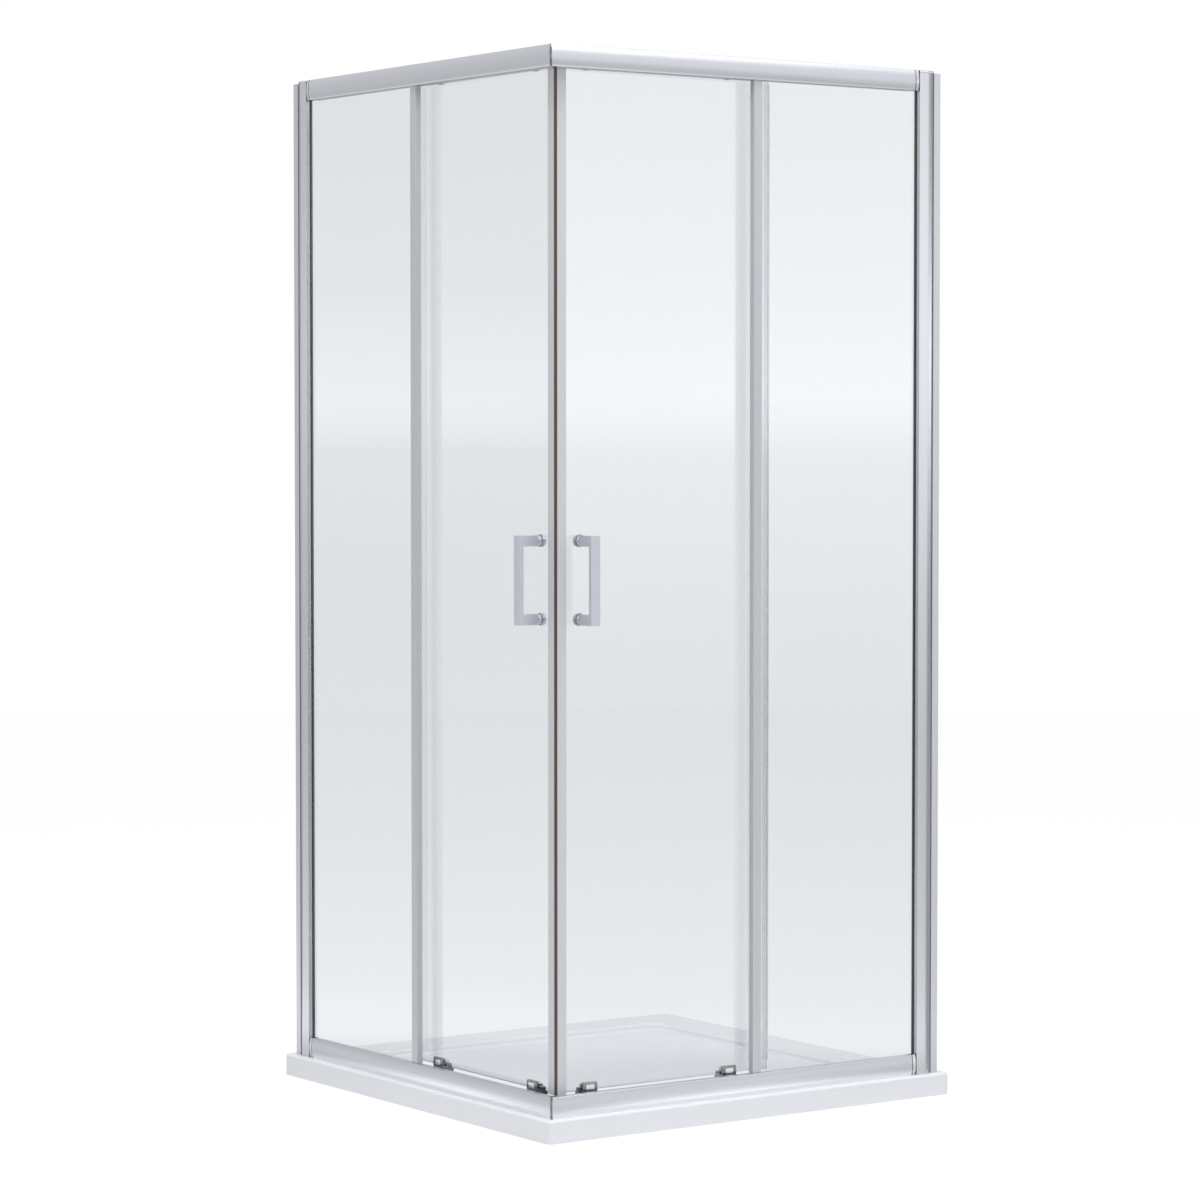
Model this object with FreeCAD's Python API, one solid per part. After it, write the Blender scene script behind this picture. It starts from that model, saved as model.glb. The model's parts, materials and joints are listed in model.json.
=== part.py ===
import FreeCAD, Part
import math
import os

# Corner entry shower enclosure on a low square tray, in millimetres, +Z up.
# The origin is on the floor under the middle of the tray.
# The entry corner points to -X -Y, and the two walls stand at +X and +Y.
# The right side runs along X and is modelled first. The left side is its mirror image in the plane X = Y.
# A depth is measured inwards from the tray's front edge, so depth 0 is Y = -TRAY_SIDE / 2.

Point = FreeCAD.Vector

# How far the middle of a quarter round lies in from its corner, for a radius of 1
ROUND_INSET = 1 - math.sqrt(0.5)

# Tray
TRAY_SIDE = 900.0
TRAY_HEIGHT = 40.0
TRAY_CORNER_RADIUS = 10.0
TRAY_EDGE_RADIUS = 4.0
RIM_WIDTH = 87.0
RECESS_DEPTH = 14.0
RECESS_CORNER_RADIUS = 40.0
RECESS_LIP_RADIUS = 6.0
RECESS_FOOT_RADIUS = 5.0
WASTE_INSET = 185.0
WASTE_RADIUS = 45.0
REBATE_RADIUS = 58.0
REBATE_DEPTH = 4.0
COVER_GAP = 2.0
COVER_WATER_GAP = 2.5
COVER_EDGE = 2.0
COVER_CROWN = 4.0
COVER_SLOPE = 22.0
COVER_FEET = 4
COVER_FOOT_RADIUS = 3.0

# Enclosure as a whole
ENCLOSURE_HEIGHT = 1850.0
TILE_OVERLAP = 16.0
GLASS_THICKNESS = 6.0
GLASS_FIT = 0.3
RUNNING_GAP = 0.4

# Rails
RAIL_INSET = 14.0
RAIL_HEIGHT = 38.0
RAIL_WALL = 2.0
FASCIA_BOW = 2.5
FASCIA_WALL = 1.8
POCKET_SETBACK = 8.7
POCKET_WALL = 1.8
MIDDLE_WALL = 3.0
BEHIND_DOOR = 13.0
UPSTAND_HEIGHT = 6.0
SKIRT_HEIGHT = 14.0
LIP_DROP = 4.0
BEAD_WIDTH = 2.0
BEAD_HEIGHT = 4.0
JOINER_HALF_THICKNESS = 2.0
TONGUE_LENGTH = 40.0
TONGUE_FIT = 0.3
END_BLOCK_LENGTH = 10.0
INFILL_HEIGHT = 12.0

# Wall posts and channels
POST_REACH = 52.0
POST_FLAT = 18.5
POST_RADIUS = 30.0
POST_WALL = 2.2
POST_POCKET = 10.0
CAP_HEIGHT = 4.0
CHANNEL_SETBACK = 3.5
CHANNEL_WALL = 2.0
CHANNEL_FIT = 0.3
CHANNEL_EDGE_GAP = 1.0
SCREW_ROOM = 4.0
WALL_HOLE_RADIUS = 3.0
WALL_HOLES = 4
WALL_HOLE_END = 98.0
POST_SCREWS = 3
POST_SCREW_END = 78.0
POST_SCREW_RADIUS = 1.6
POST_SCREW_HEAD_RADIUS = 4.0
POST_SCREW_HEAD = 2.5
POST_SCREW_CHAMFER = 1.2
POST_SCREW_LENGTH = 8.0

# Fixed panels
FIXED_PANEL_WIDTH = 376.0
EDGE_PROFILE_WIDTH = 18.0
EDGE_PROFILE_WALL = 2.7
EDGE_PROFILE_NOSE = 3.0
GASKET_WIDTH = 1.5
GASKET_BEAD = 0.8
FIN_SETBACK = 6.0
FIN_ROOT_WIDTH = 2.6
FIN_ROOT_DEPTH = 1.5
FIN_BLADE = 1.0

# Doors
DOOR_OVERLAP = 50.0
DOOR_LIFT = 4.0
DOOR_TRAVEL = 310.0
GLASS_ABOVE_AXLE = 15.0
CLOSING_PROFILE_WIDTH = 23.5
CLOSING_WALL = 3.0
CLOSING_SLOT = 6.5
CLOSING_ROUND = 1.5
CLOSING_END_GAP = 2.5
CLOSING_FOOT_GAP = 0.8
MAGNET_WIDTH = 4.0
MAGNET_GAP = 0.3
REAR_SEAL_GRIP = 7.0
REAR_SEAL_WALL = 1.3
REAR_SEAL_FIT = 0.1
SEAL_END_GAP = 4.0

# Top rollers
FRONT_ROLLER_SETBACK = 72.0
REAR_ROLLER_SETBACK = 86.0
WHEEL_WIDTH = 7.0
WHEEL_SIDE_GAP = 0.35
GROOVE_SIDE_GAP = 0.4
GROOVE_FLARE = 0.5
GROOVE_DEPTH = 2.0
TRACK_GAP = 0.2
BEARING_FIT = 0.08
TOP_WHEEL_RADIUS = 10.0
TOP_AXLE_RADIUS = 2.5
AXLE_HEAD = 2.0
AXLE_HEAD_GAP = 2.6
TOP_HEAD_RADIUS = 4.5
COLLAR_LENGTH = 2.4
COLLAR_RADIUS = 5.5
BUSH_RADIUS = 4.0
BUSH_FIT = 0.1
STUD_LENGTH = 6.0
ROLLER_CAP_RADIUS = 14.0
ROLLER_CAP_HEIGHT = 9.0
BUMPER_LENGTH = 8.0
BUMPER_HEIGHT = 16.0
BUMPER_OVERLAP = 1.5

# Quick release clips and bottom wheels
LOW_WHEEL_RADIUS = 8.5
LOW_AXLE_RADIUS = 2.0
LOW_HEAD_RADIUS = 3.5
CLIP_WIDTH = 31.0
CLIP_PLATE = 4.8
CLIP_FIT = 0.2
CLIP_HEIGHT = 14.0
CLIP_BLOCK_HEIGHT = 4.0
CLIP_BLOCK_DEPTH = 13.0
CLIP_WEB = 10.7
CLIP_ROUND = 3.0
CLIP_PAD_RISE = 0.6
CLIP_PAD_WIDTH = 17.0
CLIP_PAD_HEIGHT = 9.0
CLIP_FLOOR = 2.0
BUTTON_WIDTH = 20.0
BUTTON_DEPTH = 8.8
BUTTON_HEIGHT = 13.0
BUTTON_PROUD = 6.0
BUTTON_ROOF = 3.0
BUTTON_CHAMFER = 1.5
STEM_RADIUS = 1.6
STEM_FIT = 0.3
ARM_WIDTH = 10.0
ARM_BELOW_AXLE = 5.0
ARM_GAP = 0.4
SPRING_WIRE = 0.8
SPRING_RADIUS = 2.5
SPRING_BORE_GAP = 0.35

# Handles
HANDLE_SETBACK = 55.5
HANDLE_CENTRE = 970.0
HANDLE_LENGTH = 156.0
HANDLE_WIDTH = 19.0
HANDLE_STANDOFF = 46.0
HANDLE_BAR = 8.0
HANDLE_LEG = 19.0
HANDLE_OUTER_ROUND = 1.2
HANDLE_INNER_ROUND = 1.0
HANDLE_COLLAR = 7.0
HANDLE_SPIGOT_RADIUS = 4.7
HANDLE_HOLE_FIT = 0.3
HANDLE_SCREW_RADIUS = 2.4
HANDLE_SCREW_GRIP = 12.0
HANDLE_CAP_RADIUS = 11.0
HANDLE_CAP_HEIGHT = 8.0
CAP_ROOF = 3.0
CAP_CHAMFER = 2.5
SCREW_FIT = 0.1

# Places across the rails, as depths
half = TRAY_SIDE / 2
fascia_edge = RAIL_INSET + FASCIA_BOW
pocket_outer = RAIL_INSET + POCKET_SETBACK
fixed_outer = pocket_outer + GLASS_FIT
fixed_inner = fixed_outer + GLASS_THICKNESS
pocket_inner = fixed_inner + GLASS_FIT
track_wall = pocket_inner + MIDDLE_WALL
head_outer = track_wall + AXLE_HEAD_GAP
head_inner = head_outer + AXLE_HEAD
wheel_outer = head_inner + WHEEL_SIDE_GAP
wheel_inner = wheel_outer + WHEEL_WIDTH
wheel_plane = (wheel_outer + wheel_inner) / 2
bead_outer = wheel_plane - BEAD_WIDTH / 2
bead_inner = wheel_plane + BEAD_WIDTH / 2
collar_outer = wheel_inner + WHEEL_SIDE_GAP
door_outer = collar_outer + COLLAR_LENGTH
door_inner = door_outer + GLASS_THICKNESS
rail_back = door_inner + BEHIND_DOOR

# Places in height
tray_top = TRAY_HEIGHT
low_rail_top = tray_top + RAIL_HEIGHT
track_floor = tray_top + RAIL_WALL
lip_top = low_rail_top - LIP_DROP
lip_under = lip_top - RAIL_WALL
rib_bottom = lip_under - BEAD_HEIGHT
low_axle = rib_bottom - TRACK_GAP - (LOW_WHEEL_RADIUS - GROOVE_DEPTH)
enclosure_top = tray_top + ENCLOSURE_HEIGHT
high_rail_bottom = enclosure_top - RAIL_HEIGHT
high_web_under = enclosure_top - RAIL_WALL
ledge_top = high_rail_bottom + RAIL_WALL
bead_top = ledge_top + BEAD_HEIGHT
top_axle = bead_top + TRACK_GAP + (TOP_WHEEL_RADIUS - GROOVE_DEPTH)
door_bottom = lip_top + DOOR_LIFT
door_top = top_axle + GLASS_ABOVE_AXLE
post_top = enclosure_top - CAP_HEIGHT
closing_bottom = lip_top + CLOSING_FOOT_GAP
closing_top = enclosure_top - SKIRT_HEIGHT - CLOSING_END_GAP

# Places along the right side, as X. The wall's tiles stand on the tray's rim.
wall = half - TILE_OVERLAP
post_left = wall - POST_REACH
rail_end = post_left - END_BLOCK_LENGTH
fixed_edge = post_left - FIXED_PANEL_WIDTH
door_rear = fixed_edge + DOOR_OVERLAP
closing_outer = door_outer - CLOSING_WALL
closing_inner = door_inner + CLOSING_WALL
closing_tip = closing_outer - half
closing_end = closing_tip + CLOSING_PROFILE_WIDTH
door_front = closing_end - CLOSING_SLOT
front_roller = closing_tip + FRONT_ROLLER_SETBACK
rear_roller = door_rear - REAR_ROLLER_SETBACK
handle_x = closing_tip + HANDLE_SETBACK
handle_front = door_outer - HANDLE_STANDOFF
leg_heights = (
    HANDLE_CENTRE - HANDLE_LENGTH / 2 + HANDLE_LEG / 2,
    HANDLE_CENTRE + HANDLE_LENGTH / 2 - HANDLE_LEG / 2,
)

nodes = {}


def face_from(path, to_point):
    """A closed face. A pair ends a straight run, and a pair of pairs is an arc's middle and end."""
    edges = []
    here = path[0]
    for step in path[1:] + [path[0]]:
        if isinstance(step[0], tuple):
            middle, there = step
            edges.append(Part.Arc(to_point(*here), to_point(*middle), to_point(*there)).toShape())
        else:
            there = step
            edges.append(Part.makeLine(to_point(*here), to_point(*there)))
        here = there
    return Part.Face(Part.Wire(edges))


def rail_run(path, x_start, x_end):
    """A length of extrusion along X from a section of (depth, height) pairs."""
    face = face_from(path, lambda depth, height: Point(x_start, depth - half, height))
    return face.extrude(Point(x_end - x_start, 0, 0))


def upright(path, z_start, z_end):
    """A length of extrusion along Z from a section of (x, depth) pairs."""
    face = face_from(path, lambda x, depth: Point(x, depth - half, z_start))
    return face.extrude(Point(0, 0, z_end - z_start))


def block(x_start, x_end, depth_start, depth_end, z_start, z_end):
    corner = Point(x_start, depth_start - half, z_start)
    return Part.makeBox(x_end - x_start, depth_end - depth_start, z_end - z_start, corner)


def rod(x, z, depth_start, depth_end, radius):
    """A round bar that runs inwards."""
    start = Point(x, depth_start - half, z)
    return Part.makeCylinder(radius, depth_end - depth_start, start, Point(0, 1, 0))


def turned(path, x, z):
    """A turned piece about the line through (x, z) that runs inwards, from (radius, depth) pairs."""
    face = face_from(path, lambda radius, depth: Point(x, depth - half, z + radius))
    return face.revolve(Point(x, -half, z), Point(0, 1, 0), 360)


def joined(first, *others):
    return first.fuse(list(others)).removeSplitter()


def mirrored(shape):
    """The left side's copy of a piece of the right side."""
    return shape.mirror(Point(0, 0, 0), Point(1, -1, 0))


def add(name, *solids):
    nodes.setdefault(name, []).extend(solids)


def add_both(name, *solids):
    """One node on each side."""
    add("right_" + name, *solids)
    add("left_" + name, *[mirrored(solid) for solid in solids])


def add_shared(name, *solids):
    """One node for the pieces of both sides."""
    add(name, *solids)
    add(name, *[mirrored(solid) for solid in solids])


def spread(count, first, last):
    """Evenly spaced places from the first to the last."""
    return [first + (last - first) * index / (count - 1) for index in range(count)]


def beyond_mitre(offset):
    """All that lies on the left of the corner's mitre plane, and up to an offset on its right."""
    reach = 2 * TRAY_SIDE
    shift = offset / math.sqrt(2)
    near = Point(-reach + shift, -reach - shift, -TRAY_HEIGHT)
    far = Point(reach + shift, reach - shift, -TRAY_HEIGHT)
    back = Point(-reach, reach, 0)
    face = Part.Face(Part.makePolygon([near, far, far + back, near + back, near]))
    return face.extrude(Point(0, 0, enclosure_top + 2 * TRAY_HEIGHT))


def edges_where(shape, test):
    return [edge for edge in shape.Edges if test(edge.BoundBox)]


# Tray

def shower_tray():
    slab = Part.makeBox(TRAY_SIDE, TRAY_SIDE, TRAY_HEIGHT, Point(-half, -half, 0))
    slab = slab.makeFillet(TRAY_CORNER_RADIUS, edges_where(slab, lambda box: box.ZLength > TRAY_HEIGHT / 2))
    top_edges = edges_where(slab, lambda box: box.ZMin > TRAY_HEIGHT - TRAY_EDGE_RADIUS)
    slab = slab.makeFillet(TRAY_EDGE_RADIUS, top_edges)
    recess_half = half - RIM_WIDTH
    floor = TRAY_HEIGHT - RECESS_DEPTH
    side = 2 * recess_half
    hollow = Part.makeBox(side, side, RECESS_DEPTH, Point(-recess_half, -recess_half, floor))
    hollow = hollow.makeFillet(
        RECESS_CORNER_RADIUS, edges_where(hollow, lambda box: box.ZLength > RECESS_DEPTH / 2)
    )
    foot = edges_where(hollow, lambda box: box.ZMax < floor + RECESS_FOOT_RADIUS / 2)
    hollow = hollow.makeFillet(RECESS_FOOT_RADIUS, foot)
    tray = slab.cut(hollow)
    at_top = edges_where(tray, lambda box: box.ZMin > TRAY_HEIGHT - RECESS_LIP_RADIUS / 2)
    reach = recess_half + RECESS_LIP_RADIUS
    lip = [edge for edge in at_top if max(edge.BoundBox.XMax, edge.BoundBox.YMax) < reach]
    lip = [edge for edge in lip if min(edge.BoundBox.XMin, edge.BoundBox.YMin) > -reach]
    tray = tray.makeFillet(RECESS_LIP_RADIUS, lip)
    centre = WASTE_INSET - half
    hole = Part.makeCylinder(WASTE_RADIUS, TRAY_HEIGHT, Point(centre, centre, 0))
    rebate = Part.makeCylinder(REBATE_RADIUS, RECESS_DEPTH, Point(centre, centre, floor - REBATE_DEPTH))
    return tray.cut(hole).cut(rebate)


def waste_cover():
    """A lid with a sloping edge that stands on small feet, so that water runs in under it."""
    centre = Point(WASTE_INSET - half, WASTE_INSET - half, 0)
    seat = TRAY_HEIGHT - RECESS_DEPTH - REBATE_DEPTH
    under = seat + COVER_WATER_GAP
    radius = REBATE_RADIUS - COVER_GAP
    rim = under + COVER_EDGE
    top = rim + COVER_CROWN
    section = [(0.0, under), (radius, under), (radius, rim), (radius - COVER_SLOPE, top), (0.0, top)]
    face = face_from(section, lambda r, z: centre + Point(r, 0, z))
    cover = face.revolve(centre, Point(0, 0, 1), 360)
    foot_circle = (WASTE_RADIUS + radius) / 2
    for index in range(COVER_FEET):
        angle = 2 * math.pi * index / COVER_FEET
        place = centre + Point(foot_circle * math.cos(angle), foot_circle * math.sin(angle), seat)
        cover = joined(cover, Part.makeCylinder(COVER_FOOT_RADIUS, COVER_WATER_GAP + COVER_EDGE / 2, place))
    return cover


# Wall posts and channels

def post_curve(radius, end_depth):
    """Middle and end of the post's round, which starts straight ahead and stops at a depth."""
    centre_x = post_left + POST_FLAT
    centre_depth = RAIL_INSET + POST_RADIUS
    turn = math.acos((centre_depth - end_depth) / radius)
    middle = (centre_x + radius * math.sin(turn / 2), centre_depth - radius * math.cos(turn / 2))
    end = (centre_x + radius * math.sin(turn), end_depth)
    return middle, end


channel_outer = RAIL_INSET + CHANNEL_SETBACK
tongue_outer = channel_outer + CHANNEL_WALL + CHANNEL_FIT
post_back = pocket_inner + POST_WALL
channel_inner = post_back + CHANNEL_FIT + CHANNEL_WALL
tongue_end = wall - CHANNEL_WALL - SCREW_ROOM
channel_edge = post_curve(POST_RADIUS, tongue_outer)[1][0] + CHANNEL_EDGE_GAP
post_screw_x = (channel_edge + tongue_end) / 2
post_screw_end = channel_inner - POST_SCREW_LENGTH
post_screw_heights = spread(POST_SCREWS, tray_top + POST_SCREW_END, post_top - POST_SCREW_END)
wall_hole_heights = spread(WALL_HOLES, tray_top + WALL_HOLE_END, post_top - WALL_HOLE_END)


def wall_channel():
    """The channel that is screwed to the wall. The post's tongue slides into it."""
    web = wall - CHANNEL_WALL
    section = [
        (channel_edge, channel_outer),
        (wall, channel_outer),
        (wall, channel_inner),
        (channel_edge, channel_inner),
        (channel_edge, channel_inner - CHANNEL_WALL),
        (web, channel_inner - CHANNEL_WALL),
        (web, channel_outer + CHANNEL_WALL),
        (channel_edge, channel_outer + CHANNEL_WALL),
    ]
    channel = upright(section, tray_top, post_top)
    middle_y = (channel_outer + channel_inner) / 2 - half
    for z in wall_hole_heights:
        place = Point(web, middle_y, z)
        channel = channel.cut(Part.makeCylinder(WALL_HOLE_RADIUS, CHANNEL_WALL, place, Point(1, 0, 0)))
    for z in post_screw_heights:
        channel = channel.cut(rod(post_screw_x, z, post_back, channel_inner, POST_SCREW_RADIUS + SCREW_FIT))
    return channel


def wall_post():
    """A hollow post with a round to the wall, a pocket for the fixed glass and a tongue in the channel."""
    section = [
        (post_left, RAIL_INSET),
        (post_left + POST_FLAT, RAIL_INSET),
        post_curve(POST_RADIUS, tongue_outer),
        (tongue_end, tongue_outer),
        (tongue_end, post_back),
        (post_left, post_back),
    ]
    post = upright(section, tray_top, post_top)
    pocket_end = post_left + POST_POCKET
    inner_curve = post_curve(POST_RADIUS - POST_WALL, tongue_outer)
    hollow = [
        (pocket_end + POST_WALL, RAIL_INSET + POST_WALL),
        (post_left + POST_FLAT, RAIL_INSET + POST_WALL),
        inner_curve,
        (inner_curve[1][0], tongue_outer + POST_WALL),
        (tongue_end - POST_WALL, tongue_outer + POST_WALL),
        (tongue_end - POST_WALL, post_back - POST_WALL),
        (pocket_end + POST_WALL, post_back - POST_WALL),
    ]
    post = post.cut(upright(hollow, tray_top, post_top))
    post = post.cut(block(post_left, pocket_end, pocket_outer, pocket_inner, tray_top, post_top))
    for z in post_screw_heights:
        post = post.cut(rod(post_screw_x, z, post_screw_end, post_back, POST_SCREW_RADIUS + SCREW_FIT))
    return post


def post_cap():
    """A lid on the post, which follows the post's round as far as its back."""
    section = [
        (post_left, RAIL_INSET),
        (post_left + POST_FLAT, RAIL_INSET),
        post_curve(POST_RADIUS, post_back),
        (post_left, post_back),
    ]
    return upright(section, post_top, enclosure_top)


def post_screws():
    """Pan-headed screws that hold the post's tongue in the channel."""
    head_top = channel_inner + POST_SCREW_HEAD
    section = [
        (0.0, post_screw_end),
        (POST_SCREW_RADIUS, post_screw_end),
        (POST_SCREW_RADIUS, channel_inner),
        (POST_SCREW_HEAD_RADIUS, channel_inner),
        (POST_SCREW_HEAD_RADIUS, head_top - POST_SCREW_CHAMFER),
        (POST_SCREW_HEAD_RADIUS - POST_SCREW_CHAMFER, head_top),
        (0.0, head_top),
    ]
    return [turned(section, post_screw_x, z) for z in post_screw_heights]


# Rails

def fascia(bottom):
    """The bowed front of a rail, from its lower edge up."""
    middle = (RAIL_INSET, bottom + RAIL_HEIGHT / 2)
    return [(fascia_edge, bottom), (middle, (fascia_edge, bottom + RAIL_HEIGHT))]


def low_bead():
    """The bottom rail's bead, which hangs under its lip, from its inner side to its outer side."""
    shoulder = rib_bottom + BEAD_WIDTH / 2
    tip = ((wheel_plane, rib_bottom), (bead_outer, shoulder))
    return [(bead_inner, lip_top), (bead_inner, shoulder), tip]


def high_bead():
    """The top rail's bead, which stands up from its ledge, from its outer side to its inner side."""
    shoulder = bead_top - BEAD_WIDTH / 2
    tip = ((wheel_plane, bead_top), (bead_inner, shoulder))
    return [(bead_outer, ledge_top), (bead_outer, shoulder), tip]


def chamber(bottom, x_start, x_end, fit):
    """The hollow behind a fascia, or with a fit what slides into it."""
    front = fascia_edge + FASCIA_WALL
    back = pocket_outer - POCKET_WALL
    low = bottom + RAIL_WALL
    high = bottom + RAIL_HEIGHT - RAIL_WALL
    return block(x_start, x_end, front + fit, back - fit, low + fit, high - fit)


def bottom_rail():
    """A rail with a glazing pocket and a lip, whose bead guides the bottom wheels from above."""
    section = fascia(tray_top) + [
        (pocket_outer, low_rail_top),
        (pocket_outer, track_floor),
        (pocket_inner, track_floor),
        (pocket_inner, lip_top),
    ]
    section += low_bead()
    section += [
        (bead_outer, lip_under),
        (track_wall, lip_under),
        (track_wall, track_floor),
        (rail_back - RAIL_WALL, track_floor),
        (rail_back - RAIL_WALL, tray_top + UPSTAND_HEIGHT),
        (rail_back, tray_top + UPSTAND_HEIGHT),
        (rail_back, tray_top),
    ]
    rail = rail_run(section, -half, rail_end).cut(chamber(tray_top, -half, rail_end, 0))
    return rail.cut(beyond_mitre(JOINER_HALF_THICKNESS))


def top_rail():
    """A rail with a glazing pocket and a ledge, whose bead carries the top wheels."""
    section = fascia(high_rail_bottom) + [
        (rail_back, enclosure_top),
        (rail_back, enclosure_top - SKIRT_HEIGHT),
        (rail_back - RAIL_WALL, enclosure_top - SKIRT_HEIGHT),
        (rail_back - RAIL_WALL, high_web_under),
        (track_wall, high_web_under),
        (track_wall, ledge_top),
    ]
    section += high_bead()
    section += [
        (bead_inner, high_rail_bottom),
        (pocket_inner, high_rail_bottom),
        (pocket_inner, high_web_under),
        (pocket_outer, high_web_under),
        (pocket_outer, high_rail_bottom),
    ]
    rail = rail_run(section, -half, rail_end).cut(chamber(high_rail_bottom, -half, rail_end, 0))
    return rail.cut(beyond_mitre(JOINER_HALF_THICKNESS))


# The backs of the pieces that close a bottom rail and a top rail, open where the door runs
low_back = [
    (track_wall, low_rail_top),
    (track_wall, tray_top + UPSTAND_HEIGHT),
    (rail_back, tray_top + UPSTAND_HEIGHT),
    (rail_back, tray_top),
]
high_back = [
    (rail_back, enclosure_top),
    (rail_back, enclosure_top - SKIRT_HEIGHT),
    (track_wall, enclosure_top - SKIRT_HEIGHT),
    (track_wall, high_rail_bottom),
]


def corner_joiner(bottom, back):
    """The mitre plate between two rails, with a tongue into each. Its section is a fascia and a back."""
    plate = rail_run(fascia(bottom) + back, -half, rail_back - half + TONGUE_LENGTH)
    plate = plate.common(beyond_mitre(JOINER_HALF_THICKNESS)).cut(beyond_mitre(0))
    start = pocket_outer - half
    tongue = chamber(bottom, start - JOINER_HALF_THICKNESS, start + TONGUE_LENGTH, TONGUE_FIT)
    right = joined(plate, tongue.cut(beyond_mitre(0)))
    return joined(right, mirrored(right))


def end_block(bottom, back, slot_bottom, slot_top):
    """Closes a rail's end and joins it to the wall post. It is slotted for the fixed glass."""
    plug = rail_run(fascia(bottom) + back, rail_end, post_left)
    plug = plug.cut(block(rail_end, post_left, pocket_outer, pocket_inner, slot_bottom, slot_top))
    tongue = chamber(bottom, rail_end - TONGUE_LENGTH, rail_end, TONGUE_FIT)
    return joined(plug, tongue)


def rail_infills():
    """Strips that close the glazing pockets across the entry."""
    start = pocket_inner - half + 2 * JOINER_HALF_THICKNESS
    end = fixed_edge + EDGE_PROFILE_NOSE
    faces = (fixed_outer, fixed_inner)
    low = block(start, end, *faces, low_rail_top - INFILL_HEIGHT, low_rail_top)
    high = block(start, end, *faces, high_rail_bottom, high_rail_bottom + INFILL_HEIGHT)
    return low, high


def door_bumpers():
    """Buffers on the track's ledge that the roller wheels meet at the ends of the door's travel."""
    closed = front_roller - TOP_WHEEL_RADIUS - RUNNING_GAP
    opened = rear_roller + DOOR_TRAVEL + TOP_WHEEL_RADIUS + RUNNING_GAP
    depth = (track_wall, min(wheel_outer + BUMPER_OVERLAP, bead_outer))
    height = (ledge_top, ledge_top + BUMPER_HEIGHT)
    front = block(closed - BUMPER_LENGTH, closed, *depth, *height)
    rear = block(opened, opened + BUMPER_LENGTH, *depth, *height)
    return front, rear


# Fixed panels

def fixed_glass():
    start = fixed_edge + EDGE_PROFILE_NOSE + GLASS_FIT
    end = post_left + POST_POCKET - GLASS_FIT
    return block(start, end, fixed_outer, fixed_inner, track_floor + GLASS_FIT, post_top - GLASS_FIT)


edge_outer = pocket_outer - EDGE_PROFILE_WALL
edge_inner = pocket_inner + EDGE_PROFILE_WALL
fin_x = fixed_edge + FIN_SETBACK


def fixed_edge_profile():
    """The bar over the fixed glass's free edge, grooved inside for the fin seal."""
    end = fixed_edge + EDGE_PROFILE_WIDTH
    slot = fixed_edge + EDGE_PROFILE_NOSE
    section = [
        (fixed_edge, edge_outer),
        (end, edge_outer),
        (end, pocket_outer),
        (slot, pocket_outer),
        (slot, pocket_inner),
        (end, pocket_inner),
        (end, edge_inner),
        (fixed_edge, edge_inner),
    ]
    profile = upright(section, low_rail_top, high_rail_bottom)
    root = edge_inner - FIN_ROOT_DEPTH
    groove = block(fin_x, fin_x + FIN_ROOT_WIDTH, root, edge_inner, low_rail_top, high_rail_bottom)
    return profile.cut(groove)


def fin_seal():
    """The soft blade on the fixed panel's free edge that wipes along the door glass."""
    bottom = clip_top + SEAL_END_GAP
    top = high_rail_bottom - SEAL_END_GAP
    blade = fin_x + (FIN_ROOT_WIDTH - FIN_BLADE) / 2
    section = [
        (fin_x, edge_inner - FIN_ROOT_DEPTH),
        (fin_x + FIN_ROOT_WIDTH, edge_inner - FIN_ROOT_DEPTH),
        (fin_x + FIN_ROOT_WIDTH, edge_inner),
        (blade + FIN_BLADE, edge_inner),
        (blade + FIN_BLADE, door_outer - RUNNING_GAP),
        (blade, door_outer - RUNNING_GAP),
        (blade, edge_inner),
        (fin_x, edge_inner),
    ]
    return upright(section, bottom, top)


def glazing_gaskets():
    """Dark strips at the mouth of the post's pocket: a thin bead outside and a wider strip inside."""
    z_range = (low_rail_top, high_rail_bottom)
    outer = block(post_left - GASKET_BEAD, post_left, fixed_outer - GASKET_BEAD, fixed_outer, *z_range)
    inner = block(post_left - GASKET_WIDTH, post_left, fixed_inner, post_back, *z_range)
    return outer, inner


# Doors

clip_top = door_bottom + CLIP_HEIGHT
roller_places = {"front": front_roller, "rear": rear_roller}


def door_glass():
    glass = block(door_front + GLASS_FIT, door_rear, door_outer, door_inner, door_bottom, door_top)
    for z in leg_heights:
        glass = glass.cut(rod(handle_x, z, door_outer, door_inner, HANDLE_SPIGOT_RADIUS + HANDLE_HOLE_FIT))
    for x in roller_places.values():
        glass = glass.cut(rod(x, top_axle, door_outer, door_inner, BUSH_RADIUS + BUSH_FIT))
    return glass


def closing_bevel(depth, offset):
    return (depth - half + offset, depth)


def closing_profile():
    """The bar on the door's closing edge, bevelled so that the two doors meet at the corner."""
    slot = (door_outer - GLASS_FIT, door_inner + GLASS_FIT)
    inset = CLOSING_ROUND * ROUND_INSET
    round_middle = (closing_end - inset, closing_outer + inset)
    section = [
        closing_bevel(closing_outer, MAGNET_WIDTH),
        (closing_end - CLOSING_ROUND, closing_outer),
        (round_middle, (closing_end, closing_outer + CLOSING_ROUND)),
        (closing_end, slot[0]),
        (door_front, slot[0]),
        (door_front, slot[1]),
        (closing_end, slot[1]),
        (closing_end, closing_inner),
        closing_bevel(closing_inner, MAGNET_WIDTH),
    ]
    return upright(section, closing_bottom, closing_top)


def magnet_strip():
    section = [
        closing_bevel(closing_outer, MAGNET_GAP),
        closing_bevel(closing_outer, MAGNET_WIDTH),
        closing_bevel(closing_inner, MAGNET_WIDTH),
        closing_bevel(closing_inner, MAGNET_GAP),
    ]
    return upright(section, closing_bottom, closing_top)


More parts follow.
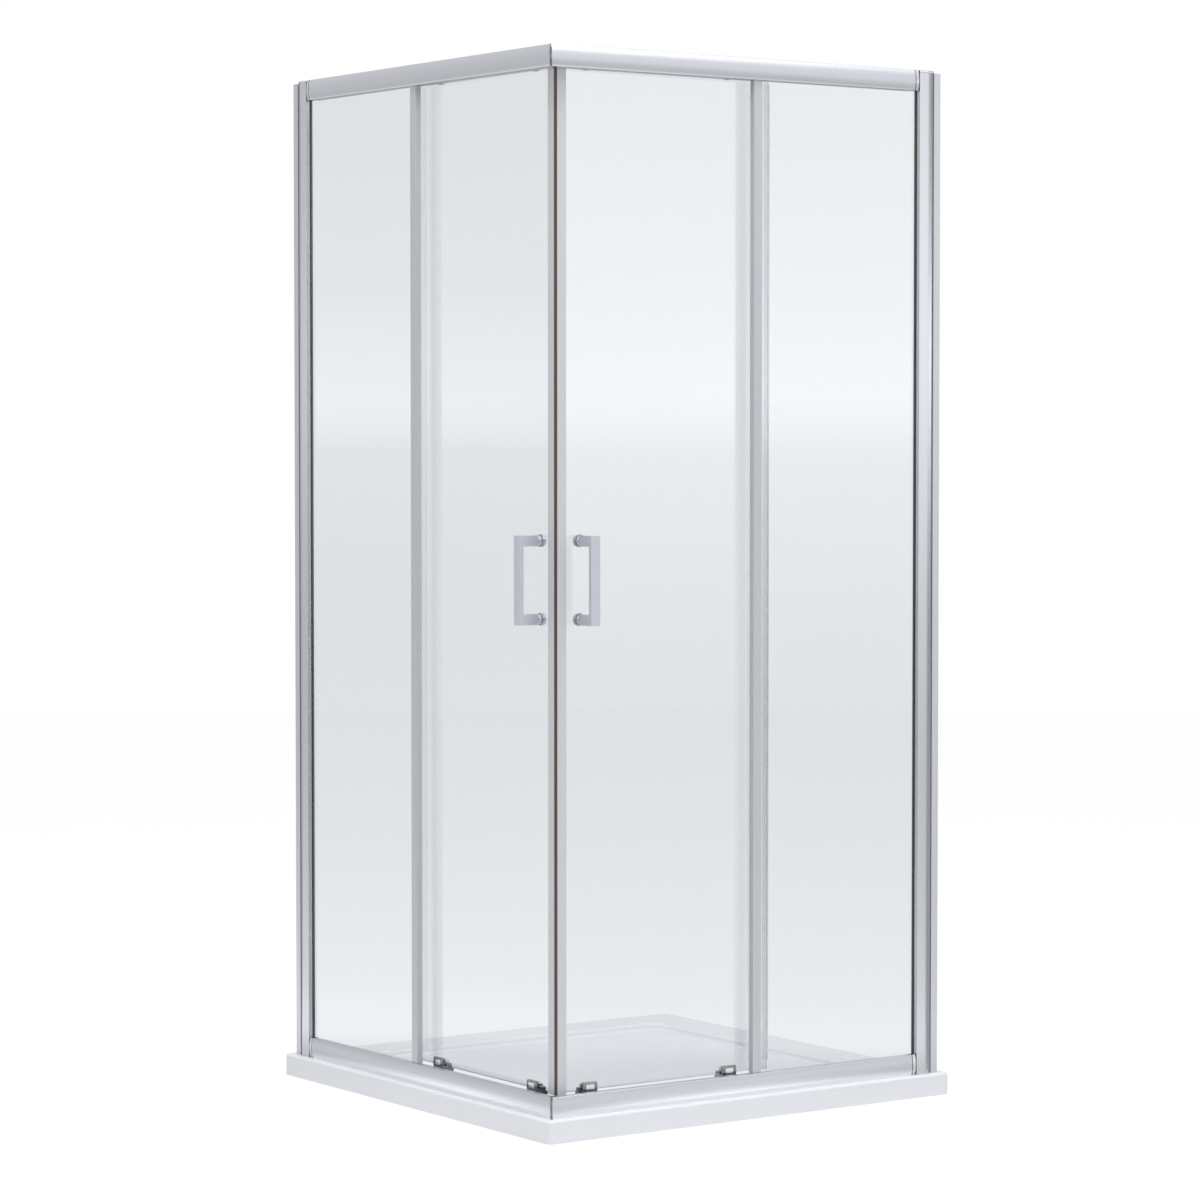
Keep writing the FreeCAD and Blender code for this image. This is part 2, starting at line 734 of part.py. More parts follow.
def rear_seal():
    """The clear channel that is pushed over the door's rear edge."""
    grip = door_rear - REAR_SEAL_GRIP
    end = door_rear + REAR_SEAL_FIT + REAR_SEAL_WALL
    outer = door_outer - REAR_SEAL_FIT
    inner = door_inner + REAR_SEAL_FIT
    section = [
        (grip, outer - REAR_SEAL_WALL),
        (end, outer - REAR_SEAL_WALL),
        (end, inner + REAR_SEAL_WALL),
        (grip, inner + REAR_SEAL_WALL),
        (grip, inner),
        (end - REAR_SEAL_WALL, inner),
        (end - REAR_SEAL_WALL, outer),
        (grip, outer),
    ]
    return upright(section, clip_top + SEAL_END_GAP, high_rail_bottom - SEAL_END_GAP)


# Handles

def handle():
    """A flat bow on two square legs that end in round collars against the glass."""
    bottom = HANDLE_CENTRE - HANDLE_LENGTH / 2
    top = HANDLE_CENTRE + HANDLE_LENGTH / 2
    root = door_outer - HANDLE_COLLAR
    back = handle_front + HANDLE_BAR
    outer = HANDLE_OUTER_ROUND
    inner = HANDLE_INNER_ROUND
    outer_inset = outer * ROUND_INSET
    inner_inset = inner * ROUND_INSET
    under_top = top - HANDLE_LEG
    over_bottom = bottom + HANDLE_LEG
    section = [
        (root, bottom),
        (handle_front + outer, bottom),
        ((handle_front + outer_inset, bottom + outer_inset), (handle_front, bottom + outer)),
        (handle_front, top - outer),
        ((handle_front + outer_inset, top - outer_inset), (handle_front + outer, top)),
        (root, top),
        (root, under_top),
        (back + inner, under_top),
        ((back + inner_inset, under_top - inner_inset), (back, under_top - inner)),
        (back, over_bottom + inner),
        ((back + inner_inset, over_bottom + inner_inset), (back + inner, over_bottom)),
        (root, over_bottom),
    ]
    bow = rail_run(section, handle_x - HANDLE_WIDTH / 2, handle_x + HANDLE_WIDTH / 2)
    radius = min(HANDLE_WIDTH, HANDLE_LEG) / 2
    for z in leg_heights:
        bow = joined(bow, rod(handle_x, z, root, door_outer, radius))
        bow = joined(bow, rod(handle_x, z, root, door_inner - HANDLE_HOLE_FIT, HANDLE_SPIGOT_RADIUS))
        start = door_outer - HANDLE_SCREW_GRIP
        bow = bow.cut(rod(handle_x, z, start, door_inner, HANDLE_SCREW_RADIUS + SCREW_FIT))
    return bow


def screw_cap(x, z, radius, height, bore_radius):
    """A chamfered cap against the inside of the door glass, with a blind bore for its screw."""
    back = door_inner + height
    bore_end = back - CAP_ROOF
    section = [
        (bore_radius, door_inner),
        (radius, door_inner),
        (radius, back - CAP_CHAMFER),
        (radius - CAP_CHAMFER, back),
        (0.0, back),
        (0.0, bore_end),
        (bore_radius, bore_end),
    ]
    return turned(section, x, z)


def handle_caps():
    bore = HANDLE_SCREW_RADIUS + SCREW_FIT
    return [screw_cap(handle_x, z, HANDLE_CAP_RADIUS, HANDLE_CAP_HEIGHT, bore) for z in leg_heights]


def handle_screws():
    start = door_outer - HANDLE_SCREW_GRIP
    end = door_inner + HANDLE_CAP_HEIGHT - CAP_ROOF
    return [rod(handle_x, z, start, end, HANDLE_SCREW_RADIUS) for z in leg_heights]


# Top rollers

def grooved_wheel(x, z, radius, bore_radius):
    """A wheel whose groove runs on a rail's bead."""
    root = radius - GROOVE_DEPTH
    groove_outer = bead_outer - GROOVE_SIDE_GAP
    groove_inner = bead_inner + GROOVE_SIDE_GAP
    section = [
        (bore_radius, wheel_outer),
        (radius, wheel_outer),
        (radius, groove_outer - GROOVE_FLARE),
        (root, groove_outer),
        (root, groove_inner),
        (radius, groove_inner + GROOVE_FLARE),
        (radius, wheel_inner),
        (bore_radius, wheel_inner),
    ]
    return turned(section, x, z)


def top_roller_bolt(x):
    """A headed axle with a collar that clamps through the glass."""
    stud_end = door_inner + STUD_LENGTH
    section = [
        (0.0, head_outer),
        (TOP_HEAD_RADIUS, head_outer),
        (TOP_HEAD_RADIUS, head_inner),
        (TOP_AXLE_RADIUS, head_inner),
        (TOP_AXLE_RADIUS, collar_outer),
        (COLLAR_RADIUS, collar_outer),
        (COLLAR_RADIUS, door_outer),
        (BUSH_RADIUS, door_outer),
        (BUSH_RADIUS, door_inner),
        (TOP_AXLE_RADIUS, door_inner),
        (TOP_AXLE_RADIUS, stud_end),
        (0.0, stud_end),
    ]
    return turned(section, x, top_axle)


def top_roller_cap(x):
    return screw_cap(x, top_axle, ROLLER_CAP_RADIUS, ROLLER_CAP_HEIGHT, TOP_AXLE_RADIUS + SCREW_FIT)


# Quick release clips

clip_outer = door_outer - CLIP_FIT - CLIP_PLATE
saddle = door_bottom - CLIP_FIT
clip_bottom = saddle - CLIP_WEB
block_outer = door_inner + CLIP_FIT
block_back = block_outer + CLIP_BLOCK_DEPTH
block_top = door_bottom + CLIP_BLOCK_HEIGHT
button_plane = (block_outer + block_back) / 2
pocket_floor = clip_bottom + CLIP_FLOOR
button_top = block_top + BUTTON_PROUD
button_bottom = button_top - BUTTON_HEIGHT
spring_top = button_top - BUTTON_ROOF
spring_outer = SPRING_RADIUS + SPRING_WIRE / 2


def clip_housing(x):
    """A saddle on the door's lower edge, with a plate outside and the button's pocket inside."""
    shelf = lip_top + RUNNING_GAP
    inset = CLIP_ROUND * ROUND_INSET
    section = [
        (clip_outer, shelf),
        (clip_outer, clip_top - CLIP_ROUND),
        ((clip_outer + inset, clip_top - inset), (clip_outer + CLIP_ROUND, clip_top)),
        (door_outer - CLIP_FIT, clip_top),
        (door_outer - CLIP_FIT, saddle),
        (block_outer, saddle),
        (block_outer, block_top),
        (block_back, block_top),
        (block_back, clip_bottom),
        (collar_outer, clip_bottom),
        (collar_outer, shelf),
    ]
    housing = rail_run(section, x - CLIP_WIDTH / 2, x + CLIP_WIDTH / 2)
    pad_z = (shelf + clip_top - CLIP_PAD_HEIGHT) / 2
    pad = block(
        x - CLIP_PAD_WIDTH / 2,
        x + CLIP_PAD_WIDTH / 2,
        clip_outer - CLIP_PAD_RISE,
        clip_outer + CLIP_PAD_RISE,
        pad_z,
        pad_z + CLIP_PAD_HEIGHT,
    )
    housing = joined(housing, pad)
    half_width = BUTTON_WIDTH / 2 + STEM_FIT
    half_depth = BUTTON_DEPTH / 2 + STEM_FIT
    depth = (button_plane - half_depth, button_plane + half_depth)
    pocket = block(x - half_width, x + half_width, *depth, pocket_floor, block_top)
    bore = Part.makeCylinder(STEM_RADIUS + STEM_FIT, CLIP_FLOOR, Point(x, button_plane - half, clip_bottom))
    return housing.cut(pocket).cut(bore)


def release_button(x):
    """A sprung button whose stem and arm carry the bottom wheel's axle down and clear of its rail."""
    half_width = BUTTON_WIDTH / 2
    half_depth = BUTTON_DEPTH / 2
    depth = (button_plane - half_depth, button_plane + half_depth)
    button = block(x - half_width, x + half_width, *depth, button_bottom, button_top)
    rims = edges_where(button, lambda box: box.ZMin > button_top - RUNNING_GAP)
    button = button.makeChamfer(BUTTON_CHAMFER, rims)
    axis = Point(x, button_plane - half, button_bottom)
    button = button.cut(Part.makeCylinder(spring_outer + SPRING_BORE_GAP, spring_top - button_bottom, axis))
    arm_top = clip_bottom - ARM_GAP
    arm_bottom = low_axle - ARM_BELOW_AXLE
    stem = Part.makeCylinder(
        STEM_RADIUS, spring_top + BUTTON_ROOF / 2 - low_axle, Point(x, button_plane - half, low_axle)
    )
    arm_back = button_plane + half_depth / 2
    section = [
        (collar_outer, arm_bottom),
        (collar_outer, arm_top),
        (arm_back, arm_top),
        (arm_back, low_axle),
        (door_inner, arm_bottom),
    ]
    arm = rail_run(section, x - ARM_WIDTH / 2, x + ARM_WIDTH / 2)
    axle = rod(x, low_axle, head_outer, door_outer, LOW_AXLE_RADIUS)
    head = rod(x, low_axle, head_outer, head_inner, LOW_HEAD_RADIUS)
    return joined(button, stem, arm, axle, head)


def release_spring(x):
    """A compression spring between the pocket's floor and the button, as the sleeve that its turns fill."""
    height = spring_top - pocket_floor
    place = Point(x, button_plane - half, pocket_floor)
    sleeve = Part.makeCylinder(spring_outer, height, place)
    return sleeve.cut(Part.makeCylinder(SPRING_RADIUS - SPRING_WIRE / 2, height, place))


# All pieces

add("shower_tray", shower_tray())
add("waste_cover", waste_cover())
add_both("wall_channel", wall_channel())
add_both("wall_post", wall_post())
add_shared("post_caps", post_cap())
add_shared("post_screws", *post_screws())
add_both("bottom_rail", bottom_rail())
add_both("top_rail", top_rail())
add("corner_joiners", corner_joiner(tray_top, low_back), corner_joiner(high_rail_bottom, high_back))
add_shared("rail_end_blocks", end_block(tray_top, low_back, track_floor, low_rail_top))
add_shared("rail_end_blocks", end_block(high_rail_bottom, high_back, high_rail_bottom, high_web_under))
add_shared("rail_infills", *rail_infills())
add_shared("door_bumpers", *door_bumpers())
add_both("fixed_glass", fixed_glass())
add_both("fixed_edge_profile", fixed_edge_profile())
add_shared("fin_seals", fin_seal())
add_shared("glazing_gaskets", *glazing_gaskets())
add_both("door_glass", door_glass())
add_both("closing_profile", closing_profile())
add_both("magnet_strip", magnet_strip())
add_both("rear_seal", rear_seal())
add_both("handle", handle())
add_both("handle_caps", *handle_caps())
add_both("handle_screws", *handle_screws())
add_both("top_roller_bolts", *[top_roller_bolt(x) for x in roller_places.values()])
add_both("top_roller_caps", *[top_roller_cap(x) for x in roller_places.values()])
for place, x in roller_places.items():
    top_bore = TOP_AXLE_RADIUS + BEARING_FIT
    low_bore = LOW_AXLE_RADIUS + BEARING_FIT
    add_both(place + "_top_wheel", grooved_wheel(x, top_axle, TOP_WHEEL_RADIUS, top_bore))
    add_both(place + "_clip_housing", clip_housing(x))
    add_both(place + "_release_button", release_button(x))
    add_both(place + "_release_spring", release_spring(x))
    add_both(place + "_bottom_wheel", grooved_wheel(x, low_axle, LOW_WHEEL_RADIUS, low_bore))

os.makedirs("parts", exist_ok=True)
for name, solids in nodes.items():
    shape = solids[0] if len(solids) == 1 else Part.makeCompound(solids)
    shape.exportStep("parts/" + name + ".step")
print(len(nodes), "nodes,", sum(len(solids) for solids in nodes.values()), "solids")
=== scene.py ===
# %% [markdown]
# # A corner entry shower enclosure
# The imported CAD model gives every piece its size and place. This lesson dresses it for its portrait: it
# gives each material its finish, breaks the sharp edges, models the handles and the small turned and wound
# pieces by hand, and then sets up a white studio and the camera. Everything is in metres, with +Z up. The
# entry corner points to -X -Y, the right side runs along X and the left side runs along Y.

import json
import math

import bpy
from mathutils import Matrix, Vector

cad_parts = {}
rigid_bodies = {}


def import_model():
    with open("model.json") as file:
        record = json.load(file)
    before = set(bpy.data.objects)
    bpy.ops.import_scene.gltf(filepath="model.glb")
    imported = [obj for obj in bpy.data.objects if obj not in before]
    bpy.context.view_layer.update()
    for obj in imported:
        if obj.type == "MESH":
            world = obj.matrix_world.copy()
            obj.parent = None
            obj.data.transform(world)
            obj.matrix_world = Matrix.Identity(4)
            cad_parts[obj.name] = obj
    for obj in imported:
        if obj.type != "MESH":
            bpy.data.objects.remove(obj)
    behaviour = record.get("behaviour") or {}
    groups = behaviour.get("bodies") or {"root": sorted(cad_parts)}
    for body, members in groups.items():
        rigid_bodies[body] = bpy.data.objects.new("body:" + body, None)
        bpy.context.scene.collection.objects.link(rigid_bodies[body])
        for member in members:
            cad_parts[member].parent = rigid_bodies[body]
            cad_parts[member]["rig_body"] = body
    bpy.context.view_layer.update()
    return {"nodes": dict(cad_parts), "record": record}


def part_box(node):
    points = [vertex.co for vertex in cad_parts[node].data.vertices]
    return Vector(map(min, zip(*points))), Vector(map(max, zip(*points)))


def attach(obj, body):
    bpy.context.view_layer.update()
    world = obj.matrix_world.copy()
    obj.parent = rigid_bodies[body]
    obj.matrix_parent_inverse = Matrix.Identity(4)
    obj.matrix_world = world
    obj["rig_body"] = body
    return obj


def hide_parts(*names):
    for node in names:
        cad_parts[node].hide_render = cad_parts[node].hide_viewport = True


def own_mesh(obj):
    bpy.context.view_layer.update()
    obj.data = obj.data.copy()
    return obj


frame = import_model()
nodes = frame["nodes"]
slot_of = {row["node"]: row["material_slot"] for row in frame["record"]["subparts"]}

# %% [markdown]
# ## Hands for the work
# An operator acts on whatever is selected, so each step starts by selecting one piece alone. The last
# helper ends a piece: it gets its material, rides on the body that carries it, and stands for its CAD node.

# %% Helpers that every step uses
MILLIMETRE = 0.001


def only(piece):
    """Make a piece the active object and the only one selected."""
    bpy.ops.object.select_all(action="DESELECT")
    piece.select_set(True)
    bpy.context.view_layer.objects.active = piece


def active(name):
    """The object that an operator has just added, under a name of its own."""
    piece = bpy.context.active_object
    piece.name = name
    piece.data.name = name
    return piece


def settle(piece):
    """Put the piece's place into its mesh, so that its object sits at the origin."""
    only(piece)
    bpy.ops.object.transform_apply(location=True, rotation=True, scale=True)


def apply_modifier(piece, kind, **values):
    """Add a modifier, set its values and apply it."""
    only(piece)
    modifier = piece.modifiers.new(kind.lower(), kind)
    for name, value in values.items():
        setattr(modifier, name, value)
    bpy.ops.object.modifier_apply(modifier=modifier.name)


def smooth(piece, angle=35):
    """Smooth the rounds, and let the large faces decide the normals, so that they stay flat."""
    only(piece)
    bpy.ops.object.shade_smooth_by_angle(angle=math.radians(angle))
    apply_modifier(piece, "WEIGHTED_NORMAL", keep_sharp=True, weight=50)


def stand_for(piece, node, material):
    """The piece takes a CAD node's place on the body that carries the node."""
    piece.data.materials.clear()
    piece.data.materials.append(material)
    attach(piece, nodes[node]["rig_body"])
    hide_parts(node)


# %% [markdown]
# ## Nodes to build with
# A material or a node group is wired from a few kinds of node. Each helper adds one node, feeds it with
# sockets or plain values, and gives back the socket that carries its result.

# %% Single nodes
def is_socket(value):
    return isinstance(value, bpy.types.NodeSocket)


def feed(tree, value, socket):
    """Link another node's result to a socket, or set a plain value on it."""
    if is_socket(value):
        tree.links.new(value, socket)
    else:
        socket.default_value = value


def math_node(tree, operation, *values):
    node = tree.nodes.new("ShaderNodeMath")
    node.operation = operation
    for value, socket in zip(values, node.inputs):
        feed(tree, value, socket)
    return node.outputs[0]


def vector_node(tree, operation, *values):
    node = tree.nodes.new("ShaderNodeVectorMath")
    node.operation = operation
    for value, socket in zip(values, node.inputs):
        feed(tree, value, socket)
    return node.outputs["Value" if operation in ("DOT_PRODUCT", "LENGTH") else "Vector"]


def between(tree, value, low, high, to_low=0.0, to_high=1.0):
    """Map a range of values smoothly onto another range."""
    node = tree.nodes.new("ShaderNodeMapRange")
    node.interpolation_type = "SMOOTHSTEP"
    tree.links.new(value, node.inputs["Value"])
    node.inputs["From Min"].default_value = low
    node.inputs["From Max"].default_value = high
    node.inputs["To Min"].default_value = to_low
    node.inputs["To Max"].default_value = to_high
    return node.outputs["Result"]


def ranged(tree, share, low, high):
    """A value that runs from low to high as a share goes from 0 to 1."""
    return between(tree, share, 0.0, 1.0, low, high)


def tinted(tree, share, low_colour, high_colour):
    """A colour that runs from one to the other as a share goes from 0 to 1."""
    mix = tree.nodes.new("ShaderNodeMix")
    mix.data_type = "RGBA"
    tree.links.new(share, mix.inputs["Factor"])
    sockets = [socket for socket in mix.inputs if socket.type == "RGBA"]
    for colour, socket in zip((low_colour, high_colour), sockets):
        feed(tree, colour if is_socket(colour) else (*colour, 1.0), socket)
    return [socket for socket in mix.outputs if socket.type == "RGBA"][0]


def mixed_shaders(tree, share, first, second):
    """A shader that turns from the first into the second as a share goes from 0 to 1."""
    mix = tree.nodes.new("ShaderNodeMixShader")
    for value, socket in zip((share, first, second), mix.inputs):
        tree.links.new(value, socket)
    return mix.outputs[0]


# %% Places on a piece
def object_place(tree):
    return tree.nodes.new("ShaderNodeTexCoord").outputs["Object"]


def sides_apart(tree):
    """The places along X, Y and Z, apart."""
    node = tree.nodes.new("ShaderNodeSeparateXYZ")
    tree.links.new(object_place(tree), node.inputs[0])
    return list(node.outputs)


def noise(tree, place, scale, detail):
    """Cloudy values that change as often along each axis as its scale says."""
    node = tree.nodes.new("ShaderNodeTexNoise")
    node.inputs["Detail"].default_value = detail
    node.inputs["Scale"].default_value = 1.0
    tree.links.new(vector_node(tree, "MULTIPLY", place, scale), node.inputs["Vector"])
    return node.outputs["Fac"]


# %% [markdown]
# ## Effects that several finishes share
# Extruded metal has fine lines along its length, polished faces carry faint marks where hands have been,
# and moulded pieces have a fine grain. The glass and the tray also ask which way a face is turned. Each
# effect is a node group on Object coordinates, so that it stays on the piece when the piece moves.

# %% Node groups
PATCH_SCALE = (7.0, 7.0, 7.0)
STREAK_SCALE = (60.0, 60.0, 60.0)


def new_group(name, inputs, output):
    """An empty shader group with float or vector inputs and one float output."""
    group = bpy.data.node_groups.new(name, "ShaderNodeTree")
    for title, value in inputs.items():
        kind = "NodeSocketFloat" if isinstance(value, float) else "NodeSocketVector"
        group.interface.new_socket(title, in_out="INPUT", socket_type=kind).default_value = value
    group.interface.new_socket(output, in_out="OUTPUT", socket_type="NodeSocketFloat")
    return group, group.nodes.new("NodeGroupInput"), group.nodes.new("NodeGroupOutput")


def extrusion_lines_group():
    """Fine lines along a length of metal. Stretch says how often they change along each axis."""
    group, given, result = new_group("extrusion_lines", {"Stretch": (900.0, 900.0, 2.0)}, "Lines")
    lines = noise(group, object_place(group), given.outputs["Stretch"], 3.0)
    group.links.new(between(group, lines, 0.3, 0.7), result.inputs["Lines"])
    return group


def handling_marks_group():
    """Soft patches, such as a cloth or a damp hand leaves."""
    group, given, result = new_group("handling_marks", {"Amount": 1.0}, "Marks")
    place = object_place(group)
    patches = between(group, noise(group, place, PATCH_SCALE, 2.0), 0.48, 0.72)
    streaks = between(group, noise(group, place, STREAK_SCALE, 4.0), 0.35, 0.7)
    both = math_node(group, "MULTIPLY", patches, streaks)
    marks = math_node(group, "MULTIPLY", both, given.outputs["Amount"])
    group.links.new(marks, result.inputs["Marks"])
    return group


def moulded_grain_group():
    """The fine even grain of a moulded face."""
    group, given, result = new_group("moulded_grain", {"Fineness": (1200.0, 1200.0, 1200.0)}, "Grain")
    grain = noise(group, object_place(group), given.outputs["Fineness"], 2.0)
    group.links.new(between(group, grain, 0.25, 0.75), result.inputs["Grain"])
    return group


def turned_away_group():
    """How far a face is turned away from a direction, such as the one that a pane looks in."""
    group, given, result = new_group("turned_away", {"Looks": (0.0, 1.0, 0.0)}, "Turned")
    normal = group.nodes.new("ShaderNodeTexCoord").outputs["Normal"]
    facing = vector_node(group, "DOT_PRODUCT", normal, given.outputs["Looks"])
    size = math_node(group, "ABSOLUTE", facing)
    group.links.new(between(group, size, 0.5, 0.95, 1.0, 0.0), result.inputs["Turned"])
    return group


extrusion_lines = extrusion_lines_group()
handling_marks = handling_marks_group()
moulded_grain = moulded_grain_group()
turned_away = turned_away_group()
print("groups:", [group.name for group in bpy.data.node_groups])

# %% [markdown]
# ## Metal
# The frame is anodised aluminium, which is a little dull and cool in colour, with its lines along the
# length of each bar. A bar along X therefore needs another stretch than a bar along Y or Z, so the recipe
# takes an axis. The foot of a rail's front has a painted reflection, a brighter colour painted on, so the
# recipe also takes the two heights between which the painted reflection ends. Chrome plate has no lines,
# only marks from handling.

# %% Helpers for materials
BUMP_STRENGTH = 0.3


def new_material(name, **constants):
    """A material with a Principled shader. The constants are set on the shader's own sockets."""
    material = bpy.data.materials.new(name)
    material.use_nodes = True
    shader = material.node_tree.nodes["Principled BSDF"]
    for title, value in constants.items():
        shader.inputs[title.replace("_", " ")].default_value = value
    return material, material.node_tree, shader


def placed(tree, group, **values):
    """A group in a material, with its own values."""
    node = tree.nodes.new("ShaderNodeGroup")
    node.node_tree = group
    for title, value in values.items():
        node.inputs[title].default_value = value
    return node.outputs[0]


def add_bump(tree, shader, height, distance):
    bump = tree.nodes.new("ShaderNodeBump")
    bump.inputs["Distance"].default_value = distance
    bump.inputs["Strength"].default_value = BUMP_STRENGTH
    tree.links.new(height, bump.inputs["Height"])
    tree.links.new(bump.outputs["Normal"], shader.inputs["Normal"])


# %% Recipes for metal
LINES_ALONG = 2.0
LINES_ACROSS = 900.0
LINE_DEPTH = 0.003 * MILLIMETRE
# A bright colour painted on a rail's foot as a painted reflection.
PAINTED_FOOT_REFLECTION = (0.85, 0.86, 0.89)
STEEL_STRETCH = (2500.0, 2500.0, 2500.0)


def extruded(name, axis, low_colour, high_colour, roughness, metallic=1.0, foot=None):
    """Extruded metal whose lines run along one axis. Between a foot's two heights its painted reflection
    ends.
    """
    stretch = [LINES_ACROSS] * 3
    stretch[axis] = LINES_ALONG
    material, tree, shader = new_material(name + "_" + "xyz"[axis], Metallic=metallic)
    lines = placed(tree, extrusion_lines, Stretch=stretch)
    colour = tinted(tree, lines, low_colour, high_colour)
    if foot:
        # The foot gets a painted reflection: the colour turns bright towards the bottom of the rail.
        colour = tinted(tree, between(tree, sides_apart(tree)[2], *foot), PAINTED_FOOT_REFLECTION, colour)
    tree.links.new(colour, shader.inputs["Base Color"])
    tree.links.new(ranged(tree, lines, *roughness), shader.inputs["Roughness"])
    add_bump(tree, shader, lines, LINE_DEPTH)
    return material


def plated(name, clean_colour, marked_colour, roughness):
    """Plated metal with faint marks from handling."""
    material, tree, shader = new_material(name, Metallic=1.0)
    marks = placed(tree, handling_marks, Amount=1.0)
    tree.links.new(tinted(tree, marks, clean_colour, marked_colour), shader.inputs["Base Color"])
    tree.links.new(ranged(tree, marks, *roughness), shader.inputs["Roughness"])
    return material


def steel_finish():
    """Drawn steel wire and turned steel, with marks in every direction."""
    material, tree, shader = new_material("bright_steel", Metallic=1.0)
    lines = placed(tree, extrusion_lines, Stretch=STEEL_STRETCH)
    colour = tinted(tree, lines, (0.50, 0.50, 0.51), (0.58, 0.58, 0.59))
    tree.links.new(colour, shader.inputs["Base Color"])
    tree.links.new(ranged(tree, lines, 0.25, 0.38), shader.inputs["Roughness"])
    return material


# %% [markdown]
# Three kinds of piece change their finish from place to place. A clip is chrome with a painted dark
# reflection on its housing and a painted highlight, a bright pad painted on its front. A rail's end block
# has painted shade, a dark colour in the joints at its two ends, and a handle is satin chrome with glossier
# collars against the glass. The left side is the right side with X and Y swapped. On both sides the
# smaller of X and Y therefore says how far out a place is, and the larger how far along the rail.

# %% Finishes that change along a piece
# A clip's housing is painted dark as a painted dark reflection, and the pad on its front bright as a painted
# highlight.
PAD_FRONT = -0.4083
PAINTED_DARK_REFLECTION = (0.26, 0.265, 0.275)
PAINTED_PAD_HIGHLIGHT = (0.80, 0.81, 0.84)
BLOCK_MIDDLE = 0.377
JOINT_START = 0.0032
CAST_BLOCK = (0.60, 0.61, 0.64)
# The dark colour painted in the end block's joints as painted shade.
PAINTED_JOINT_SHADE = (0.10, 0.10, 0.105)
BLOCK_FINENESS = (1500.0, 1500.0, 1500.0)
COLLAR_LENGTH = 7.0 * MILLIMETRE
COLLAR_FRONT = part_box("right_door_glass")[0].y - COLLAR_LENGTH
SATIN = ((0.565, 0.585, 0.650), (0.545, 0.565, 0.625))
GLOSSY_COLLAR = (0.66, 0.67, 0.70)


def outermost(tree):
    """The place across a door or a rail. It is lower the further out it is."""
    return math_node(tree, "MINIMUM", *sides_apart(tree)[:2])


# Painted light on a clip: a painted dark reflection on the housing and a painted highlight on the front pad.
def clip_finish():
    material, tree, shader = new_material("clip_chrome", Metallic=1.0)
    painted_highlight = math_node(tree, "LESS_THAN", outermost(tree), PAD_FRONT)
    tree.links.new(tinted(tree, painted_highlight, PAINTED_DARK_REFLECTION, PAINTED_PAD_HIGHLIGHT), shader.inputs["Base Color"])
    marks = placed(tree, handling_marks, Amount=1.0)
    tree.links.new(ranged(tree, marks, 0.12, 0.2), shader.inputs["Roughness"])
    return material


# An end block has painted shade: a dark colour in the joints at its two ends, where it meets the rail and
# the post.
def end_block_finish():
    material, tree, shader = new_material("cast_end_block", Metallic=1.0)
    place = math_node(tree, "MAXIMUM", *sides_apart(tree)[:2])
    from_middle = math_node(tree, "ABSOLUTE", math_node(tree, "SUBTRACT", place, BLOCK_MIDDLE))
    joint_shade = math_node(tree, "GREATER_THAN", from_middle, JOINT_START)
    tree.links.new(tinted(tree, joint_shade, CAST_BLOCK, PAINTED_JOINT_SHADE), shader.inputs["Base Color"])
    grain = placed(tree, moulded_grain, Fineness=BLOCK_FINENESS)
    tree.links.new(ranged(tree, grain, 0.22, 0.28), shader.inputs["Roughness"])
    return material


def handle_finish():
    material, tree, shader = new_material("satin_chrome")
    collar = math_node(tree, "GREATER_THAN", outermost(tree), COLLAR_FRONT)
    satin = tinted(tree, placed(tree, handling_marks, Amount=1.0), *SATIN)
    tree.links.new(tinted(tree, collar, satin, GLOSSY_COLLAR), shader.inputs["Base Color"])
    tree.links.new(ranged(tree, collar, 0.25, 0.45), shader.inputs["Metallic"])
    tree.links.new(ranged(tree, collar, 0.40, 0.15), shader.inputs["Roughness"])
    return material


# %% [markdown]
# The wall posts are polished before they are anodised, and the bottom rails are anodised a little darker
# than the top rails. The upright bars on the glass edges are etched, so that they are duller and look
# nearly the same from everywhere. The caps are chrome plated and reflect sharply.

# %% Metals
UPRIGHT = 2
ANODISED = ((0.555, 0.570, 0.612), (0.575, 0.590, 0.632), (0.31, 0.35))
DULL_ANODISED = ((0.495, 0.510, 0.550), (0.515, 0.530, 0.570), (0.31, 0.35))
ETCHED_ROUGHNESS = (0.50, 0.56)
ETCHED_METALLIC = 0.25

aluminium_by_axis = [extruded("anodised_aluminium", axis, *ANODISED) for axis in range(3)]
polished_upright = extruded(
    "polished_aluminium", UPRIGHT, (0.555, 0.570, 0.606), (0.575, 0.590, 0.626), (0.18, 0.22)
)
closing_upright = extruded(
    "etched_aluminium",
    UPRIGHT,
    (0.590, 0.598, 0.630),
    (0.610, 0.618, 0.650),
    ETCHED_ROUGHNESS,
    metallic=ETCHED_METALLIC,
)
edge_upright = extruded(
    "matt_aluminium",
    UPRIGHT,
    (0.520, 0.534, 0.565),
    (0.540, 0.554, 0.585),
    ETCHED_ROUGHNESS,
    metallic=ETCHED_METALLIC,
)
chrome = plated("chrome_plate", (0.68, 0.69, 0.72), (0.64, 0.65, 0.68), (0.07, 0.2))
dark_chrome = plated("dark_chrome", (0.20, 0.205, 0.215), (0.17, 0.175, 0.185), (0.1, 0.2))
satin_chrome = handle_finish()
clip_chrome = clip_finish()
end_block_metal = end_block_finish()
steel = steel_finish()
metals = (*aluminium_by_axis, polished_upright, closing_upright, edge_upright, chrome, dark_chrome)
metals += (satin_chrome, clip_chrome, end_block_metal, steel)
print("metals:", [material.name for material in metals])

# %% [markdown]
# ## Glass and vinyl
# The panes are toughened glass with polished edges and a coating that water runs off, which reflects more
# than bare glass, so the refractive index is higher than that of glass. A pane looks almost clear through
# its faces and greener through its edges, so the tint follows how far a face is turned from the pane's
# own direction. The rays that light the tray pass straight through, as light does through a thin pane.
# The seals are clear vinyl, which is duller.

